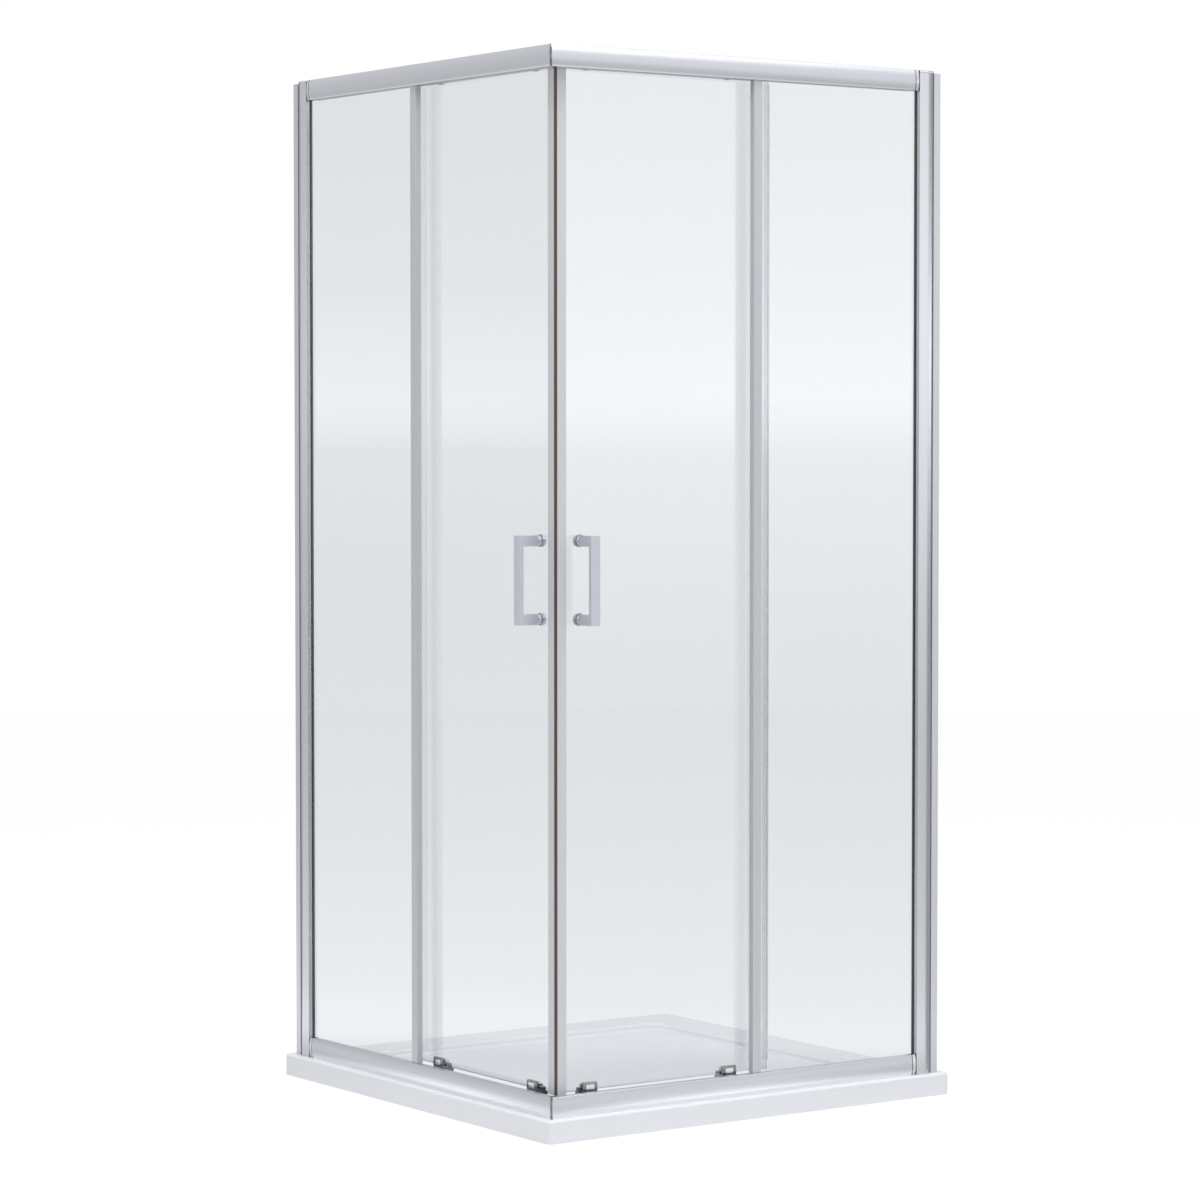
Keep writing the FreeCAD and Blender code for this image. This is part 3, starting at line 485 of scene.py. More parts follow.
# %% Glass and clear vinyl
PANE_TINT = (0.761, 0.785, 0.804)
EDGE_TINT = (0.60, 0.74, 0.71)
SHADE_TINT = (0.96, 0.97, 0.975)
VINYL_SHADE = (0.85, 0.85, 0.87)
COATED_GLASS = 1.8
SOFT_VINYL = 1.3
VINYL_FINENESS = (300.0, 300.0, 40.0)


def let_light_through(tree, shader, colour):
    """Mix in a transparent shader for the rays that light matt faces."""
    clear = tree.nodes.new("ShaderNodeBsdfTransparent")
    clear.inputs["Color"].default_value = (*colour, 1.0)
    path = tree.nodes.new("ShaderNodeLightPath")
    lighting = math_node(tree, "MAXIMUM", path.outputs["Is Shadow Ray"], path.outputs["Is Diffuse Ray"])
    whole = mixed_shaders(tree, lighting, shader.outputs[0], clear.outputs[0])
    tree.links.new(whole, tree.nodes["Material Output"].inputs["Surface"])


def glass(side, looks):
    """Clear toughened glass for panes that look in one direction."""
    material, tree, shader = new_material("clear_glass_" + side, IOR=COATED_GLASS, Transmission_Weight=1.0)
    edge = placed(tree, turned_away, Looks=looks)
    tree.links.new(tinted(tree, edge, PANE_TINT, EDGE_TINT), shader.inputs["Base Color"])
    marks = placed(tree, handling_marks, Amount=1.0)
    tree.links.new(ranged(tree, marks, 0.0, 0.03), shader.inputs["Roughness"])
    let_light_through(tree, shader, SHADE_TINT)
    return material


def vinyl_finish():
    material, tree, shader = new_material("clear_vinyl", IOR=SOFT_VINYL, Transmission_Weight=1.0)
    grain = placed(tree, moulded_grain, Fineness=VINYL_FINENESS)
    colour = tinted(tree, grain, (0.93, 0.93, 0.94), (0.96, 0.96, 0.965))
    tree.links.new(colour, shader.inputs["Base Color"])
    tree.links.new(ranged(tree, grain, 0.12, 0.25), shader.inputs["Roughness"])
    let_light_through(tree, shader, VINYL_SHADE)
    return material


glass_of_side = {"right": glass("right", (0.0, 1.0, 0.0)), "left": glass("left", (1.0, 0.0, 0.0))}
vinyl = vinyl_finish()
print("clear finishes:", [material.name for material in (*glass_of_side.values(), vinyl)])

# %% [markdown]
# ## Moulded pieces
# The tray is white acrylic with a soft gloss, with painted light on the steep walls of its recess, which
# are painted whiter. The wheels are moulded nylon, the gaskets and buffers are black rubber, and the magnets
# sit in a brown strip. The small pieces are the same recipe with other values: a colour that varies a
# little, a roughness and a grain.

# %% Moulded finishes
RECESS_HALF = 0.365
TRAY_FINENESS = (350.0, 350.0, 350.0)
TRAY_GRAIN_DEPTH = 0.02 * MILLIMETRE
TRAY_WHITE = ((0.81, 0.825, 0.862), (0.83, 0.845, 0.882))
# The whiter colour painted on the recess walls as painted light.
PAINTED_WALL_LIGHT = (0.95, 0.955, 0.965)


def moulded(name, low_colour, high_colour, roughness, fineness, depth):
    material, tree, shader = new_material(name)
    grain = placed(tree, moulded_grain, Fineness=(fineness, fineness, fineness))
    marks = placed(tree, handling_marks, Amount=1.0)
    tree.links.new(tinted(tree, grain, low_colour, high_colour), shader.inputs["Base Color"])
    tree.links.new(ranged(tree, marks, *roughness), shader.inputs["Roughness"])
    add_bump(tree, shader, grain, depth)
    return material


def tray_finish():
    material, tree, shader = new_material("white_acrylic", Roughness=0.27, Specular_IOR_Level=0.12)
    from_middle = [math_node(tree, "ABSOLUTE", side) for side in sides_apart(tree)[:2]]
    inside = math_node(tree, "LESS_THAN", math_node(tree, "MAXIMUM", *from_middle), RECESS_HALF)
    steep = placed(tree, turned_away, Looks=(0.0, 0.0, 1.0))
    # Painted light: the steep walls of the recess are painted whiter than the rest of the tray.
    walls = math_node(tree, "MULTIPLY", inside, steep)
    grain = placed(tree, moulded_grain, Fineness=TRAY_FINENESS)
    white = tinted(tree, grain, *TRAY_WHITE)
    tree.links.new(tinted(tree, walls, white, PAINTED_WALL_LIGHT), shader.inputs["Base Color"])
    add_bump(tree, shader, grain, TRAY_GRAIN_DEPTH)
    return material


tray_white = tray_finish()
nylon = moulded(
    "white_nylon", (0.76, 0.76, 0.75), (0.82, 0.82, 0.81), (0.38, 0.5), 1500.0, 0.04 * MILLIMETRE
)
rubber = moulded(
    "black_rubber", (0.045, 0.047, 0.049), (0.058, 0.060, 0.062), (0.42, 0.6), 2200.0, 0.05 * MILLIMETRE
)
magnet_brown = moulded(
    "brown_magnet", (0.072, 0.050, 0.040), (0.094, 0.068, 0.055), (0.4, 0.55), 1800.0, 0.05 * MILLIMETRE
)
print("moulded finishes:", [material.name for material in (tray_white, nylon, rubber, magnet_brown)])

# %% [markdown]
# ## Which finish goes where
# The record gives every CAD node a material slot, and most pieces take the finish of their slot. Some kinds
# of piece have a finish of their own. A rail needs its own material, because its foot lies at its own
# height, and other bars of aluminium follow their longest side.

# %% A finish for every node
finish_of_slot = {
    "tray_white": tray_white,
    "chrome": chrome,
    "steel": steel,
    "white_nylon": nylon,
    "dark_rubber": rubber,
    "brown_magnet": magnet_brown,
    "clear_vinyl": vinyl,
}
finish_of_kind = {
    "closing_profile": closing_upright,
    "fixed_edge_profile": edge_upright,
    "wall_post": polished_upright,
    "corner_joiners": dark_chrome,
    "rail_end_blocks": end_block_metal,
    "handle": satin_chrome,
    "handle_caps": satin_chrome,
    "clip_housing": clip_chrome,
}
# The heights up to which each kind of rail carries the painted reflection on its foot.
RAIL_FEET = {"bottom_rail": 13 * MILLIMETRE, "top_rail": 4 * MILLIMETRE}
RAIL_ANODISING = {"bottom_rail": DULL_ANODISED, "top_rail": ANODISED}


def kind_of(node):
    """A node's name without the words that say where it is."""
    return "_".join(word for word in node.split("_") if word not in ("right", "left", "front", "rear"))


def longest_axis(node):
    low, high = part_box(node)
    size = list(high - low)
    return size.index(max(size))


def rail_finish(node):
    """Anodised metal along a rail, with a painted reflection on its foot at the rail's own height."""
    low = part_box(node)[0]
    foot = (low.z, low.z + RAIL_FEET[kind_of(node)])
    return extruded(node + "_metal", longest_axis(node), *RAIL_ANODISING[kind_of(node)], foot=foot)


rail_metal = {node: rail_finish(node) for node in nodes if kind_of(node) in RAIL_FEET}


def finish_for(node):
    """The finish of a node's kind, or of its side, its rail, its longest side or its slot."""
    slot = slot_of[node]
    if kind_of(node) in finish_of_kind:
        return finish_of_kind[kind_of(node)]
    if slot == "clear_glass":
        return glass_of_side[node.split("_")[0]]
    if node in rail_metal:
        return rail_metal[node]
    if slot == "polished_aluminium":
        return aluminium_by_axis[longest_axis(node)]
    return finish_of_slot[slot]


for node, source in nodes.items():
    source.data.materials.clear()
    source.data.materials.append(finish_for(node))
print("slots with a finish:", sorted(set(slot_of.values())))

# %% [markdown]
# ## Edges that catch the light
# A sawn or cast piece never has a perfectly sharp edge, and the thin bright lines along the rails come
# from edges that are slightly round. A CAD node is left as it is, so each piece is a copy: its loose
# triangles are welded, flat faces are dissolved into one, and the sharp edges are bevelled. The panes get
# the small chamfer that is ground on toughened glass, and the front edges of the rails a wider round.

# %% Copies and bevels
WELD = 0.01 * MILLIMETRE
FLAT = math.radians(0.5)
SHARP = math.radians(40)
LEAST_EDGE = 2.0 * MILLIMETRE
RAIL_EDGE_ROUND = 1.4 * MILLIMETRE
RAIL_EDGE_SEGMENTS = 4
RAIL_FRONT = -0.4335
NEAR = 0.2 * MILLIMETRE


def welded_copy(node):
    piece = bpy.data.objects.new(node + "_finish", nodes[node].data.copy())
    bpy.context.scene.collection.objects.link(piece)
    only(piece)
    bpy.ops.mesh.customdata_custom_splitnormals_clear()
    bpy.ops.object.mode_set(mode="EDIT")
    bpy.ops.mesh.select_all(action="SELECT")
    bpy.ops.mesh.remove_doubles(threshold=WELD)
    bpy.ops.mesh.dissolve_limited(angle_limit=FLAT)
    bpy.ops.object.mode_set(mode="OBJECT")
    return piece


def open_edges(piece):
    """Open a piece in edit mode with none of its edges selected."""
    only(piece)
    bpy.ops.object.mode_set(mode="EDIT")
    bpy.ops.mesh.select_mode(type="EDGE")
    bpy.ops.mesh.select_all(action="DESELECT")


def edge_ends(piece):
    """Each edge of a piece with the places of its two ends."""
    corners = piece.data.vertices
    return [(edge, [corners[index].co for index in edge.vertices]) for edge in piece.data.edges]


def bevel_selected(width, segments):
    bpy.ops.object.mode_set(mode="EDIT")
    bpy.ops.mesh.bevel(offset=width, segments=segments, clamp_overlap=True)
    bpy.ops.object.mode_set(mode="OBJECT")


def break_edges(piece, width, segments):
    """Bevel the piece's sharp edges, apart from short ones, which outline holes and rounds."""
    open_edges(piece)
    bpy.ops.mesh.edges_select_sharp(sharpness=SHARP)
    bpy.ops.object.mode_set(mode="OBJECT")
    for edge, (start, end) in edge_ends(piece):
        if (end - start).length < LEAST_EDGE:
            edge.select = False
    bevel_selected(width, segments)


def round_rail_edges(piece, heights):
    """Give the outer edges of a rail's front at these heights a round that is wide enough to shine."""
    open_edges(piece)
    bpy.ops.object.mode_set(mode="OBJECT")
    for edge, ends in edge_ends(piece):
        in_front = all(abs(min(end.x, end.y) - RAIL_FRONT) < NEAR for end in ends)
        level = any(all(abs(end.z - height) < NEAR for end in ends) for height in heights)
        edge.select = in_front and level
    print(piece.name, "rounds", sum(edge.select for edge in piece.data.edges), "edges")
    bevel_selected(RAIL_EDGE_ROUND, RAIL_EDGE_SEGMENTS)


# %% [markdown]
# The widths below are in millimetres, one for each kind of piece. A kind that isn't named keeps its edges:
# the tray is rounded in the CAD model already, and the wheels, bolts and caps are small turned pieces. A top
# rail shines along both edges of its front, and a bottom rail along its upper edge, because the lower one
# lies on the tray.

# %% Copies of the CAD nodes with broken edges
EDGE_ROUNDS = {
    "wall_channel": 0.4,
    "wall_post": 0.5,
    "post_caps": 0.8,
    "bottom_rail": 0.45,
    "top_rail": 0.45,
    "corner_joiners": 0.4,
    "rail_end_blocks": 1.4,
    "rail_infills": 0.5,
    "door_bumpers": 0.6,
    "fixed_glass": 0.6,
    "fixed_edge_profile": 0.6,
    "fin_seals": 0.2,
    "glazing_gaskets": 0.2,
    "door_glass": 0.6,
    "closing_profile": 0.5,
    "magnet_strip": 0.3,
    "seal": 0.2,
    "clip_housing": 0.4,
    "release_button": 0.3,
}

by_hand = {"waste_cover", "post_screws"}
by_hand |= {node for node in nodes if kind_of(node) in ("handle", "release_spring")}
for node in sorted(set(nodes) - by_hand):
    kind = kind_of(node)
    piece = welded_copy(node)
    if kind in RAIL_FEET:
        low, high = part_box(node)
        round_rail_edges(piece, [high.z] if kind == "bottom_rail" else [low.z, high.z])
    if kind in EDGE_ROUNDS:
        break_edges(piece, EDGE_ROUNDS[kind] * MILLIMETRE, 1 if kind.endswith("glass") else 2)
    smooth(piece)
    stand_for(piece, node, finish_for(node))
print("copies with broken edges:", len(nodes) - len(by_hand))

# %% [markdown]
# ## Handles
# Each door has a flat satin bow on two square legs, which end in round collars against the glass. It
# starts as a cube of the bar's size. Two cuts mark off the legs, their faces are extruded to the collars,
# and turned collars and spigots are joined on before the edges are bevelled. The left handle is the right
# one mirrored across the enclosure's diagonal, which swaps X and Y. A mirror turns faces inside out, so
# they are flipped back, and the piece is smoothed only then.

# %% Handles
HANDLE_BAR = 8.0 * MILLIMETRE
HANDLE_LEG = 19.0 * MILLIMETRE
COLLAR_RADIUS = 9.3 * MILLIMETRE
SPIGOT_RADIUS = 4.7 * MILLIMETRE
HANDLE_EDGE = 0.5 * MILLIMETRE
ROD_CORNERS = 48
FACING = 0.9
SWAP_X_AND_Y = Matrix(((0, 1, 0, 0), (1, 0, 0, 0), (0, 0, 1, 0), (0, 0, 0, 1)))


def add_rod(name, start, length, radius, corners=ROD_CORNERS):
    """A round bar along Y that starts at a point."""
    middle = Vector(start) + Vector((0, length / 2, 0))
    bpy.ops.mesh.primitive_cylinder_add(
        vertices=corners, radius=radius, depth=length, location=middle, rotation=(math.pi / 2, 0, 0)
    )
    piece = active(name)
    settle(piece)
    return piece


def unite(piece, other):
    apply_modifier(piece, "BOOLEAN", operation="UNION", solver="EXACT", object=other)
    bpy.data.objects.remove(other)


def select_faces(piece, test):
    """Select the faces whose middle and normal pass a test, and stay in edit mode."""
    only(piece)
    bpy.ops.object.mode_set(mode="EDIT")
    bpy.ops.mesh.select_mode(type="FACE")
    bpy.ops.mesh.select_all(action="DESELECT")
    bpy.ops.object.mode_set(mode="OBJECT")
    for face in piece.data.polygons:
        face.select = test(face.center, face.normal)
    bpy.ops.object.mode_set(mode="EDIT")


def cut_across(piece, height):
    """Cut the whole piece in two at a height, and keep both parts."""
    only(piece)
    bpy.ops.object.mode_set(mode="EDIT")
    bpy.ops.mesh.select_all(action="SELECT")
    bpy.ops.mesh.bisect(plane_co=(0, 0, height), plane_no=(0, 0, 1))
    bpy.ops.object.mode_set(mode="OBJECT")


def make_handle():
    low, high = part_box("right_handle")
    glass_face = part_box("right_door_glass")[0].y
    middle = (low + high) / 2
    bpy.ops.object.select_all(action="DESELECT")
    bpy.ops.mesh.primitive_cube_add(
        size=1.0,
        location=(middle.x, low.y + HANDLE_BAR / 2, middle.z),
        scale=(high.x - low.x, HANDLE_BAR, high.z - low.z),
    )
    handle = active("right_handle_finish")
    settle(handle)
    cut_across(handle, low.z + HANDLE_LEG)
    cut_across(handle, high.z - HANDLE_LEG)
    reach = (high.z - low.z) / 2 - HANDLE_LEG
    select_faces(handle, lambda place, normal: normal.y > FACING and abs(place.z - middle.z) > reach)
    leg = glass_face - COLLAR_LENGTH - (low.y + HANDLE_BAR)
    bpy.ops.mesh.extrude_region_move(TRANSFORM_OT_translate={"value": (0, leg, 0)})
    bpy.ops.object.mode_set(mode="OBJECT")
    for height in (low.z + HANDLE_LEG / 2, high.z - HANDLE_LEG / 2):
        root = (middle.x, glass_face - COLLAR_LENGTH - HANDLE_EDGE, height)
        unite(handle, add_rod("collar", root, COLLAR_LENGTH + HANDLE_EDGE, COLLAR_RADIUS))
        unite(handle, add_rod("spigot", root, high.y - root[1], SPIGOT_RADIUS))
    apply_modifier(handle, "BEVEL", width=HANDLE_EDGE, segments=3, limit_method="ANGLE", angle_limit=SHARP)
    return handle


right_handle = make_handle()
left_handle = bpy.data.objects.new("left_handle_finish", right_handle.data.copy())
bpy.context.scene.collection.objects.link(left_handle)
left_handle.data.transform(SWAP_X_AND_Y)
left_handle.data.flip_normals()
for handle, node in ((right_handle, "right_handle"), (left_handle, "left_handle")):
    smooth(handle)
    stand_for(handle, node, finish_for(node))
print("handle faces:", len(right_handle.data.polygons))

# %% [markdown]
# ## Waste cover
# The waste in the tray's front corner has a low domed lid. A filled circle is extruded into its rim, and
# each inset then rises a little less than the one before, which makes a shallow dome. Four feet keep it
# off its seat, so that water runs in underneath.

# %% Waste cover
COVER_RIM = 2.0 * MILLIMETRE
COVER_LIFT = 2.5 * MILLIMETRE
COVER_RINGS = 6
COVER_CORNERS = 96
COVER_FOOT_RADIUS = 3.0 * MILLIMETRE
COVER_FOOT_CORNERS = 32
COVER_FOOT_CIRCLE = 0.9


def make_cover():
    low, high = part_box("waste_cover")
    middle = (low + high) / 2
    radius = (high.x - low.x) / 2
    rise = high.z - low.z - COVER_LIFT - COVER_RIM
    bpy.ops.object.select_all(action="DESELECT")
    bpy.ops.mesh.primitive_circle_add(
        vertices=COVER_CORNERS,
        radius=radius,
        fill_type="NGON",
        location=(middle.x, middle.y, low.z + COVER_LIFT),
    )
    cover = active("waste_cover_finish")
    settle(cover)
    bpy.ops.object.mode_set(mode="EDIT")
    bpy.ops.mesh.select_all(action="SELECT")
    bpy.ops.mesh.extrude_region_move(TRANSFORM_OT_translate={"value": (0, 0, COVER_RIM)})
    for ring in range(COVER_RINGS):
        share = (2 * (COVER_RINGS - ring) - 1) / COVER_RINGS ** 2
        bpy.ops.mesh.inset(thickness=radius / (COVER_RINGS + 1), depth=rise * share)
    bpy.ops.mesh.select_all(action="SELECT")
    bpy.ops.mesh.normals_make_consistent(inside=False)
    bpy.ops.object.mode_set(mode="OBJECT")
    foot_circle = COVER_FOOT_CIRCLE * radius
    for quarter in range(4):
        angle = quarter * math.pi / 2
        place = middle + Vector((foot_circle * math.cos(angle), foot_circle * math.sin(angle), 0))
        foot_height = COVER_LIFT + COVER_RIM / 2
        bpy.ops.mesh.primitive_cylinder_add(
            vertices=COVER_FOOT_CORNERS,
            radius=COVER_FOOT_RADIUS,
            depth=foot_height,
            location=(place.x, place.y, low.z + foot_height / 2),
        )
        foot = active("foot")
        settle(foot)
        unite(cover, foot)
    smooth(cover)
    return cover


cover = make_cover()
stand_for(cover, "waste_cover", chrome)
print("cover box:", [round(value, 4) for value in cover.dimensions])

# %% [markdown]
# ## Screws
# Pan-headed screws with a cross recess hold each post in its channel. One is modelled at the origin with
# its head towards +Y. The CAD node is split into its loose parts only to read where each screw sits, and
# a copy then goes to each place. On the left side the same screw is turned by the swap of X and Y.

# %% Post screws
HEAD_RADIUS = 4.0 * MILLIMETRE
HEAD_HEIGHT = 2.5 * MILLIMETRE
HEAD_CORNERS = 40
SHANK_RADIUS = 1.6 * MILLIMETRE
SHANK_LENGTH = 8.0 * MILLIMETRE
SHANK_CORNERS = 24
RECESS_WIDTH = 0.9 * MILLIMETRE
RECESS_SPAN = 4.2 * MILLIMETRE
RECESS_DEPTH = 1.3 * MILLIMETRE


def loose_boxes(node):
    """The lowest and highest corners of each separate solid of a CAD node."""
    welded_copy(node)
    bpy.ops.mesh.separate(type="LOOSE")
    parts = list(bpy.context.selected_objects)
    boxes = []
    for part in parts:
        corners = [vertex.co for vertex in part.data.vertices]
        low = Vector([min(corner[axis] for corner in corners) for axis in range(3)])
        high = Vector([max(corner[axis] for corner in corners) for axis in range(3)])
        boxes.append((low, high))
    for part in parts:
        bpy.data.objects.remove(part)
    return boxes


def make_screw():
    screw = add_rod("screw", (0, 0, 0), HEAD_HEIGHT, HEAD_RADIUS, HEAD_CORNERS)
    select_faces(screw, lambda place, normal: normal.y > FACING)
    bpy.ops.mesh.bevel(offset=HEAD_HEIGHT / 2, segments=4, clamp_overlap=True)
    bpy.ops.object.mode_set(mode="OBJECT")
    for size in ((RECESS_SPAN, RECESS_WIDTH), (RECESS_WIDTH, RECESS_SPAN)):
        bpy.ops.mesh.primitive_cube_add(
            size=1.0, location=(0, HEAD_HEIGHT, 0), scale=(size[0], 2 * RECESS_DEPTH, size[1])
        )
        cutter = active("recess")
        settle(cutter)
        apply_modifier(screw, "BOOLEAN", operation="DIFFERENCE", solver="EXACT", object=cutter)
        bpy.data.objects.remove(cutter)
    into_head = HEAD_HEIGHT / 4
    root = (0, -SHANK_LENGTH, 0)
    unite(screw, add_rod("shank", root, SHANK_LENGTH + into_head, SHANK_RADIUS, SHANK_CORNERS))
    return screw


screw = make_screw()
copies = []
for low, high in loose_boxes("post_screws"):
    middle = (low + high) / 2
    copy = bpy.data.objects.new("post_screw", screw.data.copy())
    bpy.context.scene.collection.objects.link(copy)
    if middle.y < middle.x:
        copy.data.transform(Matrix.Translation((middle.x, high.y - HEAD_HEIGHT, middle.z)))
    else:
        copy.data.transform(SWAP_X_AND_Y)
        copy.data.flip_normals()
        copy.data.transform(Matrix.Translation((high.x - HEAD_HEIGHT, middle.y, middle.z)))
    copies.append(copy)
bpy.data.objects.remove(screw)
only(copies[0])
for copy in copies:
    copy.select_set(True)
bpy.ops.object.join()
post_screws = active("post_screws_finish")
smooth(post_screws)
stand_for(post_screws, "post_screws", steel)
print("post screws:", len(copies))

# %% [markdown]
# ## Springs
# A coil spring under each release button holds the bottom wheel up against its rail. The Screw modifier
# winds a small wire circle round the spring's axis. When the button is pressed the spring shortens towards
# the floor of its pocket, so the coil is squashed by the button's own joint.

# %% Release springs
SPRING_WIRE = 0.8 * MILLIMETRE
WIRE_CORNERS = 10
TURN_STEPS = 24
SPRING_TURNS = 7


def make_spring(node):
    low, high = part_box(node)
    middle = (low + high) / 2
    coil_radius = (high.x - low.x - SPRING_WIRE) / 2
    height = high.z - low.z
    bpy.ops.object.select_all(action="DESELECT")
    bpy.ops.mesh.primitive_circle_add(
        vertices=WIRE_CORNERS,
        radius=SPRING_WIRE / 2,
        location=(coil_radius, 0, low.z + SPRING_WIRE / 2),
        rotation=(math.pi / 2, 0, 0),
    )
    spring = active(node + "_finish")
    settle(spring)
    apply_modifier(
        spring,
        "SCREW",
        axis="Z",
        steps=TURN_STEPS,
        render_steps=TURN_STEPS,
        iterations=SPRING_TURNS,
        screw_offset=(height - SPRING_WIRE) / SPRING_TURNS,
        use_merge_vertices=True,
        merge_threshold=WELD,
    )
    bpy.ops.object.mode_set(mode="EDIT")
    bpy.ops.mesh.select_all(action="SELECT")
    bpy.ops.mesh.fill_holes(sides=0)
    bpy.ops.mesh.normals_make_consistent(inside=False)
    bpy.ops.object.mode_set(mode="OBJECT")
    spring.data.transform(Matrix.Translation((middle.x, middle.y, 0)))
    smooth(spring)
    stand_for(spring, node, steel)
    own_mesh(spring)
    return spring


springs = [make_spring(node) for node in sorted(nodes) if kind_of(node) == "release_spring"]
print("springs:", [spring.name for spring in springs])

# %% [markdown]
# ## Studio
# The portrait has a white background. The world is plain white to the camera and through the glass, and
# it lights matt faces with an even level. The metal and the faces of the glass reflect a studio: light
# walls with a bright strip at eye level, and a darker room behind the enclosure. The levels below say how
# bright the studio is at so many degrees above the horizon. The walls and the room behind have levels of
# their own on the right and on the left, and a ramp runs through each set.

# %% Levels of light
BRIGHTEST = 6.0
EVEN_LIGHT = 0.60
WHITE = 1.0
RIGHT_WALL = {
    -5.0: 0.77, -4.3: 0.77, -2.7: 0.92, -1.0: 1.18, -0.3: 1.24, 0.1: 1.58, 0.45: 1.97, 1.0: 1.87,
    2.4: 1.64, 4.7: 1.35, 8.0: 1.0, 15.0: 1.0, 25.0: 1.1, 35.0: 1.5, 50.0: 1.3, 90.0: 1.3,
}
LEFT_WALL = {
    -5.0: 0.80, -4.0: 0.76, -3.3: 0.73, -1.7: 0.73, -0.9: 0.81, -0.1: 0.86, 0.22: 1.19, 0.55: 1.27,
    0.9: 1.2, 1.5: 1.1, 2.3: 0.92, 3.1: 0.89, 3.9: 0.82, 4.7: 0.76, 9.0: 0.9, 30.0: 1.0,
    50.0: 1.1, 90.0: 1.3,
}
RIGHT_BACK = {
    -9.0: 0.42, -5.7: 0.33, -2.9: 0.36, -1.7: 0.36, -0.6: 0.38, 0.5: 0.8, 0.9: 5.0, 1.5: 5.0, 2.1: 0.9,
    2.8: 0.42, 3.9: 0.3, 5.0: 0.18, 6.5: 0.35, 8.0: 0.95, 25.0: 0.95, 50.0: 1.2,
}
LEFT_BACK = {
    -9.0: 0.8, -7.0: 0.7, -5.7: 0.6, -4.0: 0.5, -1.7: 0.55, -0.5: 0.62, 0.7: 0.75, 2.3: 0.55,
    3.9: 0.5, 5.0: 0.3, 6.5: 0.35, 8.0: 0.95, 25.0: 0.95, 50.0: 1.2,
}


def grey(level):
    """A level of light as a colour, where white stands for the brightest level."""
    shade = level / BRIGHTEST
    return (shade, shade, shade)


def light_levels(tree, place, levels):
    """A ramp through the light levels that are given for some places."""
    lowest = min(levels)
    highest = max(levels)
    ramp = tree.nodes.new("ShaderNodeValToRGB")
    share = between(tree, place, lowest, highest)
    share.node.interpolation_type = "LINEAR"
    tree.links.new(share, ramp.inputs["Fac"])
    elements = ramp.color_ramp.elements
    while len(elements) > 1:
        elements.remove(elements[0])
    for key, level in levels.items():
        position = (key - lowest) / (highest - lowest)
        element = elements[0] if key == lowest else elements.new(position)
        element.position = position
        element.color = (*grey(level), 1.0)
    return ramp.outputs["Color"]


# %% World
UP = (0.0, 0.0, 1.0)
RIGHTWARDS = (math.sqrt(0.5), -math.sqrt(0.5), 0.0)
BACKWARDS = (math.cos(math.radians(35)), math.sin(math.radians(35)), 0.0)
LEFT_TO_RIGHT = (-0.5, 0.5)
WALL_TO_BACK = (0.1, 0.42)
FIRST_BOUNCE = 0.5


def seen_plainly(tree):
    """1 for the camera's own rays and for what shows through glass, but not for what glass reflects."""
    path = tree.nodes.new("ShaderNodeLightPath")
    direct = math_node(tree, "LESS_THAN", path.outputs["Glossy Depth"], FIRST_BOUNCE)
    through = math_node(tree, "MULTIPLY", path.outputs["Is Transmission Ray"], direct)
    return math_node(tree, "MAXIMUM", path.outputs["Is Camera Ray"], through)


world = bpy.data.worlds.new("studio")
world.use_nodes = True
bpy.context.scene.world = world
sky = world.node_tree
direction = sky.nodes.new("ShaderNodeTexCoord").outputs["Generated"]
height = vector_node(sky, "DOT_PRODUCT", direction, UP)
elevation = math_node(sky, "DEGREES", math_node(sky, "ARCSINE", height))
right_share = between(sky, vector_node(sky, "DOT_PRODUCT", direction, RIGHTWARDS), *LEFT_TO_RIGHT)
back_share = between(sky, vector_node(sky, "DOT_PRODUCT", direction, BACKWARDS), *WALL_TO_BACK)
left_wall, right_wall, left_back, right_back = [
    light_levels(sky, elevation, levels) for levels in (LEFT_WALL, RIGHT_WALL, LEFT_BACK, RIGHT_BACK)
]
walls = tinted(sky, right_share, left_wall, right_wall)
back = tinted(sky, right_share, left_back, right_back)
room = tinted(sky, back_share, walls, back)
mirrored = sky.nodes.new("ShaderNodeLightPath").outputs["Is Glossy Ray"]
studio = tinted(sky, mirrored, grey(EVEN_LIGHT), room)
background = sky.nodes["Background"]
sky.links.new(tinted(sky, seen_plainly(sky), studio, grey(WHITE)), background.inputs["Color"])
background.inputs["Strength"].default_value = BRIGHTEST
print("world:", world.name)

# %% [markdown]
# The floor is a wide pale disc. To the camera it is nearly pure white, with enough of a matt share left to
# keep a soft shadow at the tray's foot. In reflections it is brightest beside the tray, dips in a ring
# round it and then fades outwards, as a studio floor does whose lamps point at the object. Behind the
# enclosure it is darker, as the room there is.

# %% Floor
FLOOR_RADIUS = 10.0
FLOOR_PALE = (0.85, 0.85, 0.85, 1.0)
FLOOR_GLOW = 1.06
GLOW_SHARE = 0.85
FLOOR_BEHIND = 0.5
FRONT_TO_BEHIND = (0.1, 0.35)
FLOOR_LEVELS = {
    0.0: 2.2, 0.5: 2.2, 0.6: 1.5, 0.72: 0.95, 0.9: 0.85, 1.15: 1.3, 1.4: 1.3, 1.8: 1.12,
    2.75: 1.02, 5.5: 0.86, 10.0: 0.77,
}


def glow(tree, strength):
    """A shader that shines with a strength."""
    node = tree.nodes.new("ShaderNodeEmission")
    node.inputs["Strength"].default_value = strength
    return node


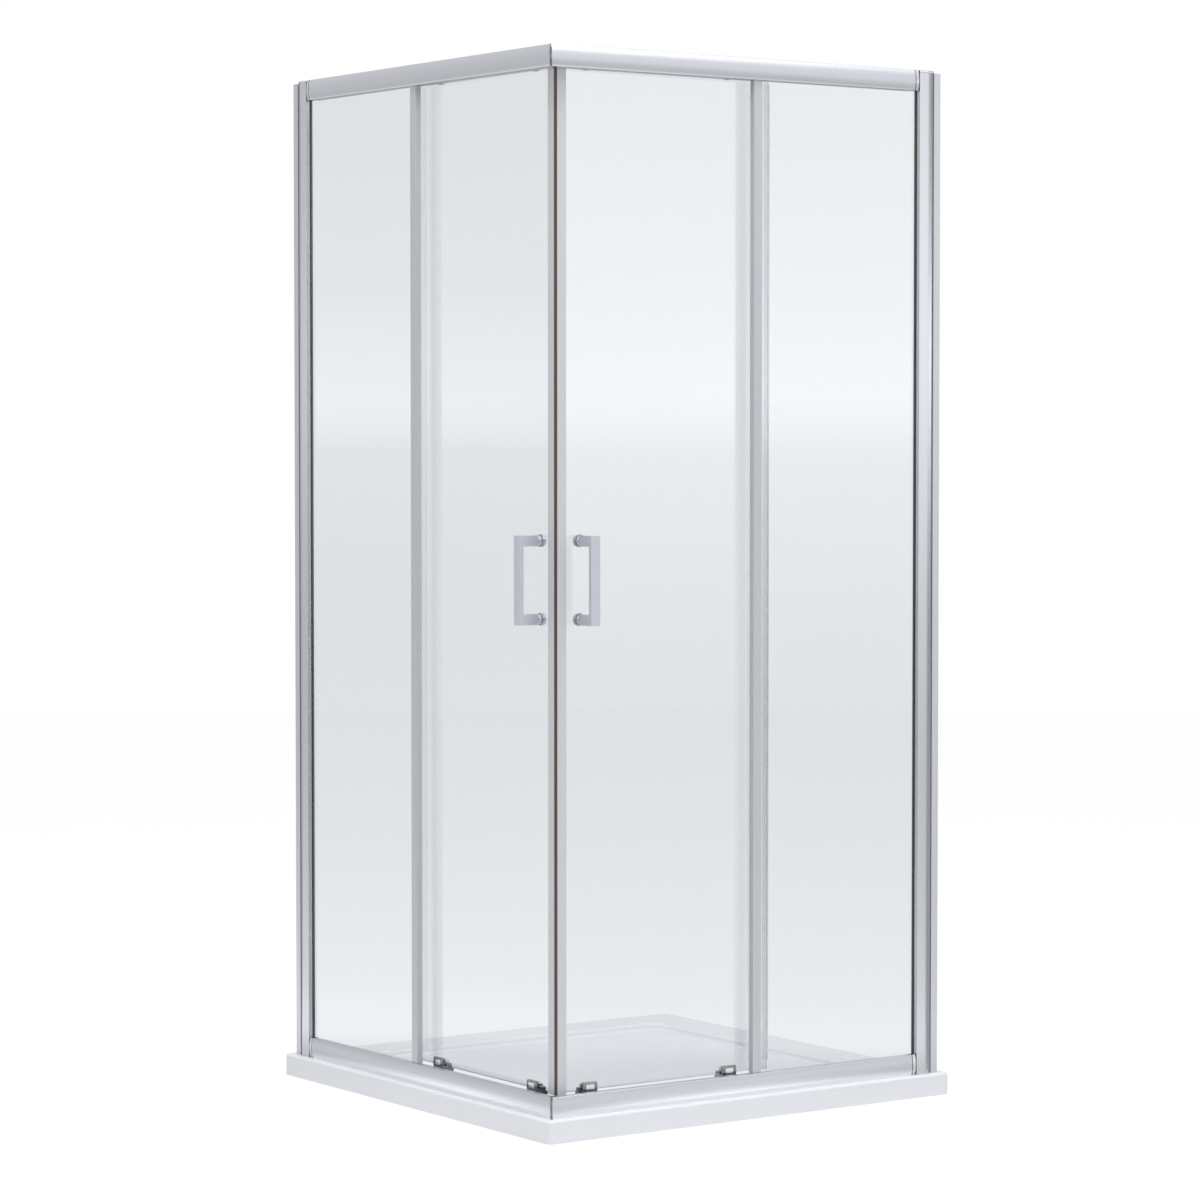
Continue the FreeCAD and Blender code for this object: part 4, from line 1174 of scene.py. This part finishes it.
def floor_finish():
    material, tree, shader = new_material("pale_floor", Roughness=0.9, Base_Color=FLOOR_PALE)
    white = glow(tree, FLOOR_GLOW)
    white_share = math_node(tree, "MULTIPLY", seen_plainly(tree), GLOW_SHARE)
    seen = mixed_shaders(tree, white_share, shader.outputs[0], white.outputs[0])
    place = object_place(tree)
    lit = light_levels(tree, vector_node(tree, "LENGTH", place), FLOOR_LEVELS)
    heading = vector_node(tree, "NORMALIZE", place)
    behind = between(tree, vector_node(tree, "DOT_PRODUCT", heading, BACKWARDS), *FRONT_TO_BEHIND)
    sheen = glow(tree, BRIGHTEST)
    tree.links.new(tinted(tree, behind, lit, grey(FLOOR_BEHIND)), sheen.inputs["Color"])
    bounces = tree.nodes.new("ShaderNodeLightPath").outputs["Glossy Depth"]
    reflected = math_node(tree, "GREATER_THAN", bounces, FIRST_BOUNCE)
    whole = mixed_shaders(tree, reflected, seen, sheen.outputs[0])
    tree.links.new(whole, tree.nodes["Material Output"].inputs["Surface"])
    return material


bpy.ops.object.select_all(action="DESELECT")
bpy.ops.mesh.primitive_circle_add(vertices=64, radius=FLOOR_RADIUS, fill_type="NGON")
floor = active("studio_floor")
floor.data.materials.append(floor_finish())
print("floor radius:", FLOOR_RADIUS)

# %% [markdown]
# Two large soft boxes give the rims and the chrome their highlights. One stands over the right front, and
# the stronger one hangs overhead, a little towards the entry corner.

# %% Lamps
def soft_box(name, place, target, size, power):
    lamp = bpy.data.lights.new(name, "AREA")
    lamp.shape = "SQUARE"
    lamp.size = size
    lamp.energy = power
    box = bpy.data.objects.new(name, lamp)
    bpy.context.scene.collection.objects.link(box)
    box.location = place
    box.rotation_euler = (Vector(target) - Vector(place)).to_track_quat("-Z", "Y").to_euler()


soft_box("right_soft_box", place=(2.6, -4.6, 5.0), target=(0.0, 0.0, 0.9), size=1.8, power=40.0)
soft_box("top_soft_box", place=(-0.8, -1.0, 4.5), target=(0.0, 0.0, 0.0), size=2.2, power=118.0)
print("lamps:", [lamp.name for lamp in bpy.data.lights])

# %% [markdown]
# ## Camera
# The camera stands about six and a half metres from the entry corner, a little above the middle of the
# doors, and looks slightly down. A long lens keeps the uprights nearly parallel.

# %% Camera
CAMERA_PLACE = (-4.1146, -5.8365, 1.2125)
CAMERA_YAW = 35.0023
CAMERA_PITCH = 2.3984
CAMERA_LENS = 114.265
SENSOR_WIDTH = 36.0

camera_data = bpy.data.cameras.new("portrait_camera")
camera_data.sensor_width = SENSOR_WIDTH
camera_data.lens = CAMERA_LENS
camera = bpy.data.objects.new("portrait_camera", camera_data)
bpy.context.scene.collection.objects.link(camera)
camera.location = CAMERA_PLACE
camera.rotation_euler = (math.radians(90 - CAMERA_PITCH), 0.0, math.radians(-CAMERA_YAW))
bpy.context.scene.camera = camera
bpy.context.scene.view_settings.view_transform = "Standard"
print("camera:", camera.name)
